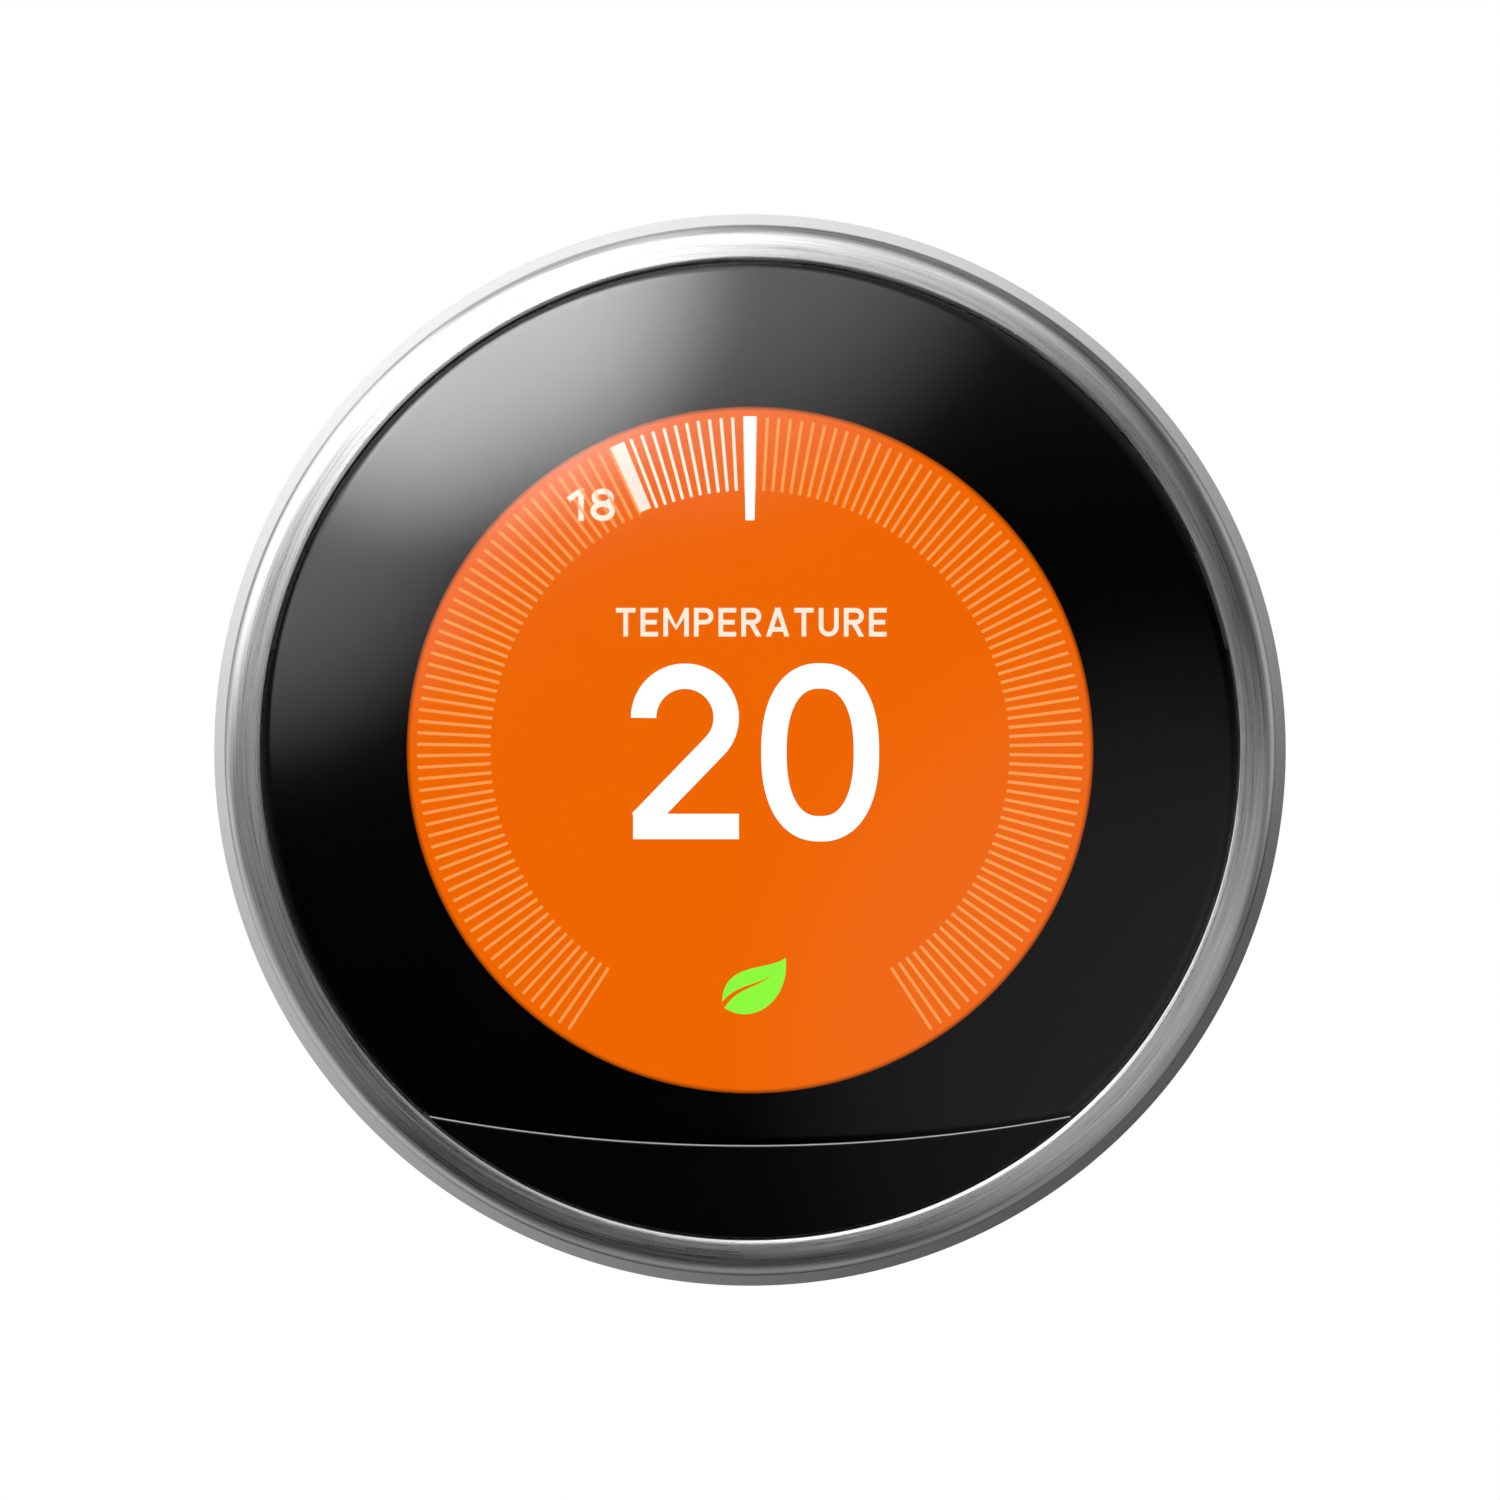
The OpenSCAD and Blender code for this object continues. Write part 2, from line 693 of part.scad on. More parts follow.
module back_cover() {
    flank = [for (i = [0 : arc_steps]) let (a = 90 * i / arc_steps)
        [base_r + (cover_front_r - base_r) * sin(a),
         cover_z + 0.4 + (cover_front_z - cover_z - 0.4) * (1 - cos(a))]];
    color([0.45, 0.46, 0.48]) face_on() difference() {
        union() {
            rotate_extrude() polygon(concat(
                [[recess_r, cover_z], [base_r - 0.4, cover_z]],
                flank,
                [[cover_front_r - cover_wall, cover_front_z]],
                reversed([for (p = flank) if (p[1] > cover_floor_z && p[1] < cover_front_z - 0.5)
                    p - [cover_wall, 0]]),
                [[base_r - cover_wall, cover_floor_z],
                 [recess_r + recess_wall, cover_floor_z],
                 [recess_r + recess_wall, recess_front_z],
                 [0, recess_front_z], [0, recess_z], [recess_r, recess_z]]));
            for (a = post_angles) polar(post_place_r, a) {
                disc(post_boss_r, cover_floor_z - bond, post_boss_z);
                disc(post_r, cover_floor_z, post_top_z);
            }
        }
        for (a = post_angles)
            polar(post_place_r, a)
                disc(shoulder_shank[0] + bond, post_top_z - shoulder_shank[1] - 0.3, post_top_z + 1);
        translate([0, plug_y, 0]) box(plug_size + [0.4, 0.4], recess_z - 1, recess_front_z + 1);
        translate([usb_place[0], usb_place[1], 0])
            rounded_box(usb_size + [1, 1], 0.8, recess_z - 1, recess_front_z + 1);
        for (a = post_angles) ring_part(recess_r + 0.5, recess_r - 1, grip_z0, grip_z1, a, grip_sweep + 1);
    }
}

module shoulder_screws() {
    color([0.62, 0.62, 0.64]) face_on() for (a = post_angles)
        polar(post_place_r, a) translate([0, 0, post_top_z]) mirror([0, 0, 1])
            screw(shoulder_head, shoulder_shank, 0);
}

// Coil spring as one tube swept up a helix
spring_sides = 6;
spring_steps = 12;
spring_z0 = post_boss_z + spring_wire_r + 0.02;
spring_z1 = lug_z - spring_wire_r - 0.02;

function helix_ring(i) = let (
    n = spring_turns * spring_steps,
    a = 360 * i / spring_steps,
    c = [spring_r * cos(a), spring_r * sin(a), spring_z0 + (spring_z1 - spring_z0) * i / n])
    [for (k = [0 : spring_sides - 1]) let (b = 360 * k / spring_sides)
        c + spring_wire_r * [cos(b) * cos(a), cos(b) * sin(a), sin(b)]];

module coil_spring() {
    n = spring_turns * spring_steps;
    s = spring_sides;
    polyhedron(
        points = [for (i = [0 : n]) for (p = helix_ring(i)) p],
        faces = concat(
            [[for (k = [0 : s - 1]) k]],
            [for (i = [0 : n - 1], k = [0 : s - 1])
                let (a = i * s + k, b = i * s + (k + 1) % s) [a, a + s, b + s]],
            [for (i = [0 : n - 1], k = [0 : s - 1])
                let (a = i * s + k, b = i * s + (k + 1) % s) [a, b + s, b]],
            [[for (k = [s - 1 : -1 : 0]) n * s + k]]));
}

module return_springs() {
    color([0.7, 0.7, 0.72]) face_on() for (a = post_angles) polar(post_place_r, a) coil_spring();
}

// Bowed leaves that grip the terminal deck's flank
grip_z0 = cover_z + 1;
grip_z1 = recess_z - 1;
grip_sweep = 16;
grip_t = 0.25;

module grip_springs() {
    middle_z = (grip_z0 + grip_z1) / 2;
    bow = [for (i = [0 : arc_steps]) let (s = 2 * i / arc_steps - 1)
        [recess_r + 0.3 - 0.58 * (1 - s * s), middle_z + s * (grip_z1 - grip_z0 - 0.4) / 2]];
    color([0.78, 0.78, 0.8]) face_on() for (a = post_angles)
        rotate([0, 0, a - grip_sweep / 2]) rotate_extrude(angle = grip_sweep) polygon(strip(bow, grip_t));
}

module plug_board() {
    color([0.05, 0.3, 0.15]) face_on() translate([0, plug_y + 1, 0]) difference() {
        rounded_box([26, 11], 1, recess_front_z, recess_front_z + board_t);
        for (ix = [0 : plug_pins[0] - 1], iy = [0 : plug_pins[1] - 1])
            translate(pin_at(ix, iy) + [0, -1, 0])
                box([pin_w + slip, pin_w + slip], recess_front_z - 1, depth);
    }
}

function pin_at(ix, iy) = [(ix - (plug_pins[0] - 1) / 2) * pin_pitch,
                           (iy - (plug_pins[1] - 1) / 2) * pin_pitch, 0];

module pin_grid(w, z0, z1) {
    for (ix = [0 : plug_pins[0] - 1], iy = [0 : plug_pins[1] - 1])
        translate(pin_at(ix, iy)) box([w, w], z0, z1);
}

socket_floor_z = base_board_front_z + socket_floor_t;
socket_top_z = deck_h + 0.4;
plug_tip_z = socket_floor_z + 0.6;
pin_tip_z = socket_top_z - 1;
plug_root_z = recess_front_z;

module base_plug() {
    color([0.08, 0.08, 0.09]) face_on() translate([0, plug_y, 0]) difference() {
        box(plug_size, plug_tip_z, plug_root_z);
        pin_grid(plug_hole_w, plug_tip_z - 1, pin_tip_z + 0.3);
        pin_grid(pin_w + slip, pin_tip_z, depth);
    }
}

module plug_contacts() {
    color([0.83, 0.68, 0.3]) face_on() translate([0, plug_y, 0])
        pin_grid(pin_w, pin_tip_z + 0.5, recess_front_z + board_t + 0.4);
}

// ---------------------------------------------------------------- wall base

module screw_slot(x) {
    translate([x, 0, -1]) linear_extrude(plate_t + 2) {
        square([slot_l - slot_w, slot_w], center = true);
        for (side = [-1, 1]) translate([side * (slot_l - slot_w) / 2, 0]) circle(r = slot_w / 2);
    }
}

module base_plate() {
    color([0.9, 0.9, 0.89]) face_on() difference() {
        union() {
            disc(base_r, 0, plate_t);
            tube(base_r, base_r - rim_t, plate_t - bond, rim_z);
            tube(cable_r + collar_t, cable_r, plate_t - bond, plate_t + collar_h);
            tube(cable_r + collar_t + 2, cable_r, plate_t - bond, base_board_z);
            translate([0, 0, plate_t - bond]) linear_extrude(base_board_z - plate_t + bond) difference() {
                deck_outline(base_board_r, base_board_flat);
                deck_outline(base_board_r - board_ledge, base_board_flat - board_ledge);
            }
            for (a = deck_screw_angles) polar(deck_screw_r, a) disc(deck_boss_r, plate_t - bond, deck_back_z);
        }
        disc(cable_r, -1, depth);
        for (side = [-1, 1]) screw_slot(side * screw_spacing / 2);
        for (a = deck_screw_angles) polar(deck_screw_r, a) disc(deck_pilot_r, plate_t, deck_h);
        difference() {
            tube(back_groove[1], back_groove[0], -1, back_groove[2]);
            for (a = [0 : 45 : 135]) rotate([0, 0, a + 22.5]) box([2 * back_groove[1], 1.4], -2, depth);
        }
    }
}

module deck_outline(r, flat) {
    intersection() {
        circle(r = r);
        square([2 * flat, 3 * r], center = true);
    }
}

function tab_at(i) = let (side = i < terminals ? -1 : 1, row = i % terminals)
    [side * pocket_x, ((terminals - 1) / 2 - row) * terminal_pitch, 0];

module terminal_deck() {
    color([0.93, 0.93, 0.92]) face_on() difference() {
        translate([0, 0, plate_t]) linear_extrude(deck_h - plate_t) deck_outline(deck_r, deck_flat);
        translate([0, 0, plate_t - 1]) linear_extrude(deck_back_z - plate_t + 1)
            deck_outline(deck_r - deck_wall, deck_flat - deck_wall);
        rounded_box([wire_well[0], wire_well[1]], wire_well[2], plate_t, deck_h + 1);
        for (i = [0 : 2 * terminals - 1]) translate(tab_at(i))
            box(tab_neck + [2 * tab_slot_gap, 2 * tab_slot_gap], plate_t, deck_h + 1);
        translate([0, level_y, 0]) rounded_box([level_l + 1, 2 * level_r + 0.3], 0.8, plate_t, deck_h + 1);
        translate([0, plug_y, 0]) rounded_box(socket_size + [0.4, 0.4], 0.6, plate_t, deck_h + 1);
        for (a = deck_screw_angles) polar(deck_screw_r, a) {
            disc(1.1, deck_back_z - 1, deck_h + 1);
            disc(2.1, deck_h - 0.9, deck_h + 1);
        }
        // breathing slots over the humidity sensor
        for (i = [-1 : 1]) translate([0, -23.6 - i * 0.9, 0]) box([6 - abs(i), 0.45], plate_t, deck_h + 1);
    }
}

module deck_screws() {
    color([0.62, 0.62, 0.64]) face_on() for (a = deck_screw_angles)
        polar(deck_screw_r, a) translate([0, 0, deck_h - 0.9]) mirror([0, 0, 1])
            screw([1.9, 0.8], [deck_pilot_r - bond, 5], 0);
}

module base_board() {
    color([0.05, 0.3, 0.15]) face_on() difference() {
        translate([0, 0, base_board_z]) linear_extrude(board_t)
            deck_outline(base_board_r, base_board_flat);
        disc(cable_r + collar_t + 0.2, 0, depth);
        for (a = deck_screw_angles) polar(deck_screw_r, a) disc(deck_boss_r + 0.2, 0, depth);
    }
}

module base_socket() {
    color([0.1, 0.1, 0.11]) face_on() translate([0, plug_y, 0]) difference() {
        rounded_box(socket_size, 0.4, base_board_front_z, socket_top_z);
        box(socket_cavity, socket_floor_z, depth);
        pin_grid(pin_w, 0, depth);
    }
}

module socket_pins() {
    color([0.83, 0.68, 0.3]) face_on() translate([0, plug_y, 0])
        pin_grid(pin_w, base_board_front_z, pin_tip_z);
}

module terminal_block(side) {
    difference() {
        translate([side * (block_x + block_w / 2), 0, 0])
            rounded_box([block_w, block_y], 0.4, base_board_front_z, block_top_z);
        for (row = [0 : terminals - 1]) {
            p = tab_at(row + (side > 0 ? terminals : 0));
            translate(p) box(pocket, pocket_z, deck_h);
            translate([side * block_x, p[1], 0])
                box([2 * (pocket_x - block_x), wire_mouth[0]], pocket_z, pocket_z + wire_mouth[1]);
            // funnel that leads the wire in
            translate([side * block_x, p[1], 0])
                box([1, wire_mouth[0] + 0.7], pocket_z - 0.2, pocket_z + wire_mouth[1] + 0.3);
        }
    }
}

module terminal_block_left() {
    color([0.6, 0.61, 0.62]) face_on() terminal_block(-1);
}

module terminal_block_right() {
    color([0.6, 0.61, 0.62]) face_on() terminal_block(1);
}

module terminal_clamps() {
    leaf = [[-3.6, pocket_z + 0.15], [-1.2, pocket_z + 0.2], [0.6, pocket_z + clamp_h - 0.25],
            [2, pocket_z + clamp_h - 0.15], [3.4, pocket_z + 0.4]];
    color([0.8, 0.62, 0.32]) face_on() for (i = [0 : 2 * terminals - 1])
        translate(tab_at(i)) rotate([90, 0, i < terminals ? 180 : 0])
            translate([0, 0, -wire_mouth[0] / 2]) linear_extrude(wire_mouth[0]) polygon(strip(leaf, 0.25));
}

module release_tab(i) {
    color([0.86, 0.87, 0.88]) face_on() translate(tab_at(i)) {
        box(tab_foot, tab_foot_z, deck_back_z - slip);
        difference() {
            box(tab_neck, tab_foot_z + 0.5, deck_h + tab_proud);
            for (x = [-1 : 1]) translate([x * 1.6, 0, 0])
                box([0.5, tab_neck[1] + 1], deck_h + tab_proud - 0.3, depth);
        }
    }
}

module level_vial() {
    color([0.9, 0.95, 0.9, 0.4]) face_on() translate([-level_l / 2, level_y, level_z]) rotate([0, 90, 0])
        difference() {
            cylinder(r = level_r, h = level_l - level_cap_t);
            translate([0, 0, 1]) cylinder(r = level_bore_r, h = level_l);
        }
}

module level_cap() {
    color([0.9, 0.92, 0.9]) face_on()
        translate([level_l / 2 - level_cap_t, level_y, level_z]) rotate([0, 90, 0]) {
            cylinder(r = level_r, h = level_cap_t);
            translate([0, 0, -1]) cylinder(r = level_bore_r - bond, h = 1 + bond);
        }
}

module level_fluid() {
    fluid_l = level_l - level_cap_t - 2 - 2 * bond;
    color([0.6, 0.9, 0.2, 0.7]) face_on() translate([-level_l / 2 + 1 + bond, level_y, level_z])
        difference() {
            rotate([0, 90, 0]) cylinder(r = level_bore_r - bond, h = fluid_l);
            translate([fluid_l / 2 + 0.5, 0, 1]) sphere(r = 1.5);
        }
}

module humidity_sensor() {
    color([0.85, 0.85, 0.86]) face_on() translate([0, -23.4, 0]) difference() {
        box([3, 2.2], base_board_front_z, base_board_front_z + 1.1);
        disc(0.6, base_board_front_z + 0.8, depth);
    }
}

module base_relays() {
    color([0.12, 0.12, 0.13]) face_on() for (x = [-6 : 4 : 6]) translate([x, 15.2, 0]) {
        box([3, 2.4], base_board_front_z, base_board_front_z + 1.6);
        box([2.2, 3.4], base_board_front_z, base_board_front_z + 0.3);
    }
}

// ---------------------------------------------------------------- one node at a time

base_plate();
terminal_deck();
base_board();
base_socket();
socket_pins();
terminal_block_left();
terminal_block_right();
terminal_clamps();
release_tab(0);  // release_tab_01
release_tab(1);  // release_tab_02
release_tab(2);  // release_tab_03
release_tab(3);  // release_tab_04
release_tab(4);  // release_tab_05
release_tab(5);  // release_tab_06
release_tab(6);  // release_tab_07
release_tab(7);  // release_tab_08
release_tab(8);  // release_tab_09
release_tab(9);  // release_tab_10
level_vial();
level_cap();
level_fluid();
humidity_sensor();
base_relays();
deck_screws();
back_cover();
plug_board();
base_plug();
plug_contacts();
grip_springs();
shoulder_screws();
return_springs();
plug_flex();
head_frame();
front_lens();
lens_mask();
lens_adhesive();
sensor_window();
display_panel();
light_guide();
backlight_tray();
display_flex();
main_board();
shield_can();
board_chips();
antenna();
battery();
battery_lead();
motion_sensor();
motion_lens();
light_sensor();
proximity_sensor();
buzzer();
click_switch();
ring_sensor();
ring_bearing_pads();
usb_port();
board_screws();
click_plunger();
outer_ring();
ring_carrier();
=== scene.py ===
import bpy
import math
import numpy as np
from functools import partial
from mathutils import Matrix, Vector


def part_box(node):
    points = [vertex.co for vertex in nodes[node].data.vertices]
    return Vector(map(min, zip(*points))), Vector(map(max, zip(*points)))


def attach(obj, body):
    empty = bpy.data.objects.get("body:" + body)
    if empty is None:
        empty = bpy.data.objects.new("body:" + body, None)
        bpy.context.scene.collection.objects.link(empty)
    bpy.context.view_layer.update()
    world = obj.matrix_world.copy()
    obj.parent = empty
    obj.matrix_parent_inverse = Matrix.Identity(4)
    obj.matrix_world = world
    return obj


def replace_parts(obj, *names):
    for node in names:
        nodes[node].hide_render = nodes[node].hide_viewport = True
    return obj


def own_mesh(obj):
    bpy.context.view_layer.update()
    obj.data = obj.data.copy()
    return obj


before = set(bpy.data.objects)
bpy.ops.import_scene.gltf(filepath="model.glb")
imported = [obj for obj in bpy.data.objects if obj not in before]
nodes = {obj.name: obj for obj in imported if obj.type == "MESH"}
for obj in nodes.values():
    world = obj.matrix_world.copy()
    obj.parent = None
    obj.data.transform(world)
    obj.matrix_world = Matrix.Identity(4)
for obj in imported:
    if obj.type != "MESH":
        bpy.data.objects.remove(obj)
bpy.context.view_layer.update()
mm = 0.001

# The front looks along -Y. A point is given face on, as x to the right and z up, and as its
# height over the wall, so its y is minus that height.
face = {
    "lensFront": -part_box("front_lens")[0].y,      # crown of the lens
    "lensBack": -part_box("front_lens")[1].y,
    "ringBack": -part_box("outer_ring")[1].y,
    "ringFront": -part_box("outer_ring")[0].y,
    "lensRadius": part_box("front_lens")[1].z,
    "deckFront": -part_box("terminal_deck")[0].y,
}


# Meshes worked out as grids of points

def gridFaces(rows, columns, closeRows=False, closeColumns=False):
    # Quads between neighbours of a rows by columns grid, wrapped round where asked
    i = np.arange(rows if closeRows else rows - 1)[:, None]
    j = np.arange(columns if closeColumns else columns - 1)[None, :]
    nextI, nextJ = (i + 1) % rows, (j + 1) % columns
    quad = [i * columns + j, nextI * columns + j, nextI * columns + nextJ, i * columns + nextJ]
    return np.stack([np.broadcast_to(q, (i.shape[0], j.shape[1])) for q in quad], -1).reshape(-1, 4)


def makePiece(name, parts, material, body, smooth=30):
    # parts holds (points, face arrays) pairs, where a face array has one row of corner numbers
    # per face; all of them become one mesh
    clouds = [np.asarray(points, float).reshape(-1, 3) for points, _ in parts]
    starts = np.cumsum([0] + [len(cloud) for cloud in clouds])
    blocks = [np.asarray(faces) + start for (_, arrays), start in zip(parts, starts) for faces in arrays]
    sizes = np.concatenate([np.full(len(block), block.shape[1]) for block in blocks])
    mesh = bpy.data.meshes.new(name)
    mesh.vertices.add(starts[-1])
    mesh.vertices.foreach_set("co", np.vstack(clouds).ravel())
    mesh.loops.add(sizes.sum())
    mesh.loops.foreach_set("vertex_index", np.concatenate([block.ravel() for block in blocks]))
    mesh.polygons.add(len(sizes))
    mesh.polygons.foreach_set("loop_start", np.cumsum(sizes) - sizes)
    mesh.polygons.foreach_set("use_smooth", np.ones(len(sizes), bool))
    mesh.update(calc_edges=True)
    mesh.validate()
    mesh.set_sharp_from_angle(angle=math.radians(smooth))
    mesh.materials.append(material)
    piece = bpy.data.objects.new(name, mesh)
    bpy.context.scene.collection.objects.link(piece)
    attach(piece, body)
    return piece


def turned(profile, segments):
    # A closed outline of (radius, height) points carried round the Y axis
    profile = np.asarray(profile, float)
    angle = np.linspace(0, 2 * math.pi, segments, endpoint=False)[:, None]
    radius, height = profile[None, :, 0], profile[None, :, 1]
    points = np.stack([radius * np.sin(angle), -height + 0 * angle, radius * np.cos(angle)], -1)
    return points, [gridFaces(segments, len(profile), True, True)]


def arcPoints(centre, radius, start, end, steps):
    # Centre plus radius times (cos, sin) of angles evenly spaced from start to end
    angle = np.radians(np.linspace(start, end, steps + 1))
    return np.stack([centre[0] + radius * np.cos(angle), centre[1] + radius * np.sin(angle)], -1)


def bezier(start, first, second, end, steps):
    # Cubic curve: the four points weighted by the binomial terms of s and 1 - s
    s = np.linspace(0, 1, steps + 1)[:, None]
    r = 1 - s
    return (r ** 3 * np.array(start) + 3 * r * r * s * np.array(first)
            + 3 * r * s * s * np.array(second) + s ** 3 * np.array(end))


def flatSolid(left, right, low, high, closed=False):
    # A plate between two equally long edges, from height low to height high, in mm; a height is
    # one number or one for each point
    section = [(left, high), (left, low), (right, low), (right, high)]
    points = np.stack([np.stack([p[:, 0], 0 * p[:, 0] - h, p[:, 1]], -1) for p, h in section], 1)
    faces = [gridFaces(len(left), 4, closed, True)]
    if not closed:
        last = 4 * (len(left) - 1)
        faces.append(np.array([[0, 1, 2, 3], [last + 3, last + 2, last + 1, last]]))
    return points * mm, faces


def directions(path, closed=False):
    # Unit vectors along a path, each from its two neighbouring points
    along = np.roll(path, -1, 0) - np.roll(path, 1, 0) if closed else np.gradient(path, axis=0)
    return along / np.linalg.norm(along, axis=1)[:, None]


def stroke(path, width, low, high, closed=False, cut=None):
    # A flat bar along a path: each point moves half the width to both sides of the path, along
    # the normal of the mean of its two neighbouring directions. cut gives the height at which
    # the last section is cut level instead.
    path = np.asarray(path, float)
    along = directions(path, closed)
    normal = np.stack([-along[:, 1], along[:, 0]], -1)
    halfWidth = np.broadcast_to(np.asarray(width, float), (len(path),))[:, None] / 2
    left, right = path + normal * halfWidth, path - normal * halfWidth
    if cut is not None:
        left[-1] += along[-1] * (cut - left[-1, 1]) / along[-1, 1]
        right[-1] += along[-1] * (cut - right[-1, 1]) / along[-1, 1]
    return flatSolid(left, right, low, high, closed)


def tube(path, outward, radius, sides, closed=False):
    # A round wire along a path in space: each ring lies in the plane of outward, which stays
    # square to the path, and of its cross product with the path's direction
    along = directions(path, closed)
    outward = outward - along * np.sum(outward * along, axis=1)[:, None]
    outward /= np.linalg.norm(outward, axis=1)[:, None]
    across = np.cross(along, outward)
    turn = np.linspace(0, 2 * math.pi, sides, endpoint=False)[None, :, None]
    points = path[:, None] + radius * (np.cos(turn) * outward[:, None] + np.sin(turn) * across[:, None])
    faces = [gridFaces(len(path), sides, closed, True)[:, ::-1]]
    if not closed:
        rim = np.arange(sides)
        faces += [rim[None, ::-1], (len(path) - 1) * sides + rim[None, :]]
    return points, faces


# Nodes and colours

def linear(colour):
    # sRGB hex to linear red, green, blue and full alpha
    values = [int(colour[i:i + 2], 16) / 255 for i in (1, 3, 5)]
    return [v / 12.92 if v <= 0.04045 else ((v + 0.055) / 1.055) ** 2.4 for v in values] + [1.0]


def addNode(tree, kind, inputs=None, **settings):
    # Adds a node with its settings. Each input takes a value, or a link from a node's first
    # output or from a (node, output) pair.
    node = tree.nodes.new("ShaderNode" + kind)
    for key, value in settings.items():
        setattr(node, key, value)
    for key, value in (inputs or {}).items():
        source = value if isinstance(value, tuple) else (value, 0)
        if isinstance(source[0], bpy.types.Node):
            tree.links.new(source[0].outputs[source[1]], node.inputs[key])
        else:
            node.inputs[key].default_value = value
    return node


def newMaterial(name):
    # An empty material, the call that adds nodes to it, and the place on the object
    material = bpy.data.materials.new(name)
    material.use_nodes = True
    material.node_tree.nodes.clear()
    add = partial(addNode, material.node_tree)
    return material, add, (add("TexCoord"), "Object")


def finishSurface(add, inputs, tones=None, relief=None):
    # The shader and the output, which every material ends in. tones is (dark, light, blend) for
    # the base colour, and relief is (height, strength, depth in mm) for its bumps.
    if tones:
        dark, light, blend = tones
        mix = add("Mix", {6: linear(dark), 7: linear(light), "Factor": blend}, data_type="RGBA")
        inputs = {**inputs, "Base Color": (mix, 2)}
    if relief:
        height, strength, depth = relief
        bump = add("Bump", {"Strength": strength, "Distance": depth * mm, "Height": height})
        inputs = {**inputs, "Normal": bump}
    add("OutputMaterial", {"Surface": add("BsdfPrincipled", inputs)})


# Camera, floor and light

camera = {"distance": 0.75, "frameWidth": 0.1151, "sensor": 36.0}


def addCamera():
    data = bpy.data.cameras.new("camera")
    data.sensor_width = camera["sensor"]
    data.lens = camera["sensor"] * camera["distance"] / camera["frameWidth"]
    view = bpy.data.objects.new("camera", data)
    view.location = (0, -face["lensFront"] - camera["distance"], 0)
    view.rotation_euler = (math.pi / 2, 0, 0)
    bpy.context.scene.collection.objects.link(view)
    bpy.context.scene.camera = view


def towards(azimuth, tilt):
    # A direction in degrees: azimuth is clockwise from the top for someone facing the front, and
    # tilt is from the way the front looks
    a, t = math.radians(azimuth), math.radians(tilt)
    return Vector((math.sin(t) * math.sin(a), -math.cos(t), math.sin(t) * math.cos(a)))


# Soft boxes as round patches of sky, each fading from its core to its rim
softBoxes = [
    # azimuth, tilt, core, rim, radiance
    (328, 11, 2, 6, 6.1), (354, 11, 2, 7, 1.3), (298, 11, 2, 6, 1.3), (328, 20, 5, 12, 0.61),
    (310, 50, 12, 30, 0.5), (335, 50, 12, 30, 1.6), (300, 75, 12, 34, 1.6), (340, 75, 12, 34, 0.25),
    (125, 10, 3, 9, 0.17), (125, 26, 7, 20, 0.18), (120, 50, 12, 34, 0.42), (190, 95, 12, 34, 0.35),
    (20, 35, 10, 30, 0.3), (12, 45, 10, 24, 0.9), (265, 45, 12, 36, 0.2),
    (290, 105, 14, 36, 0.5), (330, 105, 14, 36, 0.55), (15, 105, 14, 36, 0.24), (75, 105, 14, 36, 0.55),
    (140, 105, 14, 40, 0.3), (240, 105, 14, 40, 0.68),
    (290, 160, 8, 30, 0.1), (340, 160, 8, 30, 1.1), (40, 160, 8, 30, 0.2), (240, 160, 8, 30, 0.38),
]
skyAmbient = 0.004


def addSky():
    # The camera sees a white backdrop; everything else sees the soft boxes over a dim ambient
    world = bpy.data.worlds.new("studio")
    world.use_nodes = True
    world.node_tree.nodes.clear()
    add = partial(addNode, world.node_tree)
    place = add("TexCoord")
    total = add("Value")
    total.outputs[0].default_value = skyAmbient
    for azimuth, tilt, core, rim, radiance in softBoxes:
        nearness = add("VectorMath", {1: towards(azimuth, tilt), 0: (place, "Generated")},
                       operation="DOT_PRODUCT")
        patch = add("MapRange", {"From Min": math.cos(math.radians(rim)),
                                 "From Max": math.cos(math.radians(core)), "To Min": 0.0,
                                 "To Max": radiance, "Value": (nearness, "Value")},
                    interpolation_type="SMOOTHSTEP")
        total = add("Math", {0: patch, 1: total}, operation="ADD")
    sky = add("Background", {"Color": (1, 1, 1, 1), "Strength": total})
    backdrop = add("Background", {"Color": (1, 1, 1, 1), "Strength": 1.0})
    path = add("LightPath")
    seen = add("MixShader", {"Fac": (path, "Is Camera Ray"), 1: sky, 2: backdrop})
    add("OutputWorld", {"Surface": seen})
    bpy.context.scene.world = world


floor = {"drop": 0.8, "size": 2.4, "colour": "#DCDCDA"}


def addFloor():
    half = floor["size"] / 2
    mesh = bpy.data.meshes.new("floor")
    corners = [(-half, -half), (half, -half), (half, half), (-half, half)]
    mesh.from_pydata([(x, y, -floor["drop"]) for x, y in corners], [], [(0, 1, 2, 3)])
    material, add, _ = newMaterial("paleFloorPaint")
    finishSurface(add, {"Base Color": linear(floor["colour"]), "Roughness": 0.7})
    mesh.materials.append(material)
    plane = bpy.data.objects.new("floor", mesh)
    plane.visible_glossy = plane.visible_diffuse = False      # the steel doesn't mirror it
    plane.visible_shadow = False
    bpy.context.scene.collection.objects.link(plane)


# Wide lamps that light only matt surfaces, as the soft boxes are too small to fill the mouldings:
# azimuth and tilt as above, strength in watts per square metre
fills = {"spread": 80, "lamps": {"frontFill": (315, 40, 1.2), "backFill": (30, 150, 1.2)}}


def addFills():
    for name, (azimuth, tilt, strength) in fills["lamps"].items():
        data = bpy.data.lights.new(name, "SUN")
        data.energy = strength
        data.angle = math.radians(fills["spread"])
        lamp = bpy.data.objects.new(name, data)
        lamp.rotation_mode = "QUATERNION"
        lamp.rotation_quaternion = towards(azimuth, tilt).to_track_quat("Z", "Y")
        lamp.visible_glossy = lamp.visible_transmission = False      # nor seen in steel or glass
        bpy.context.scene.collection.objects.link(lamp)


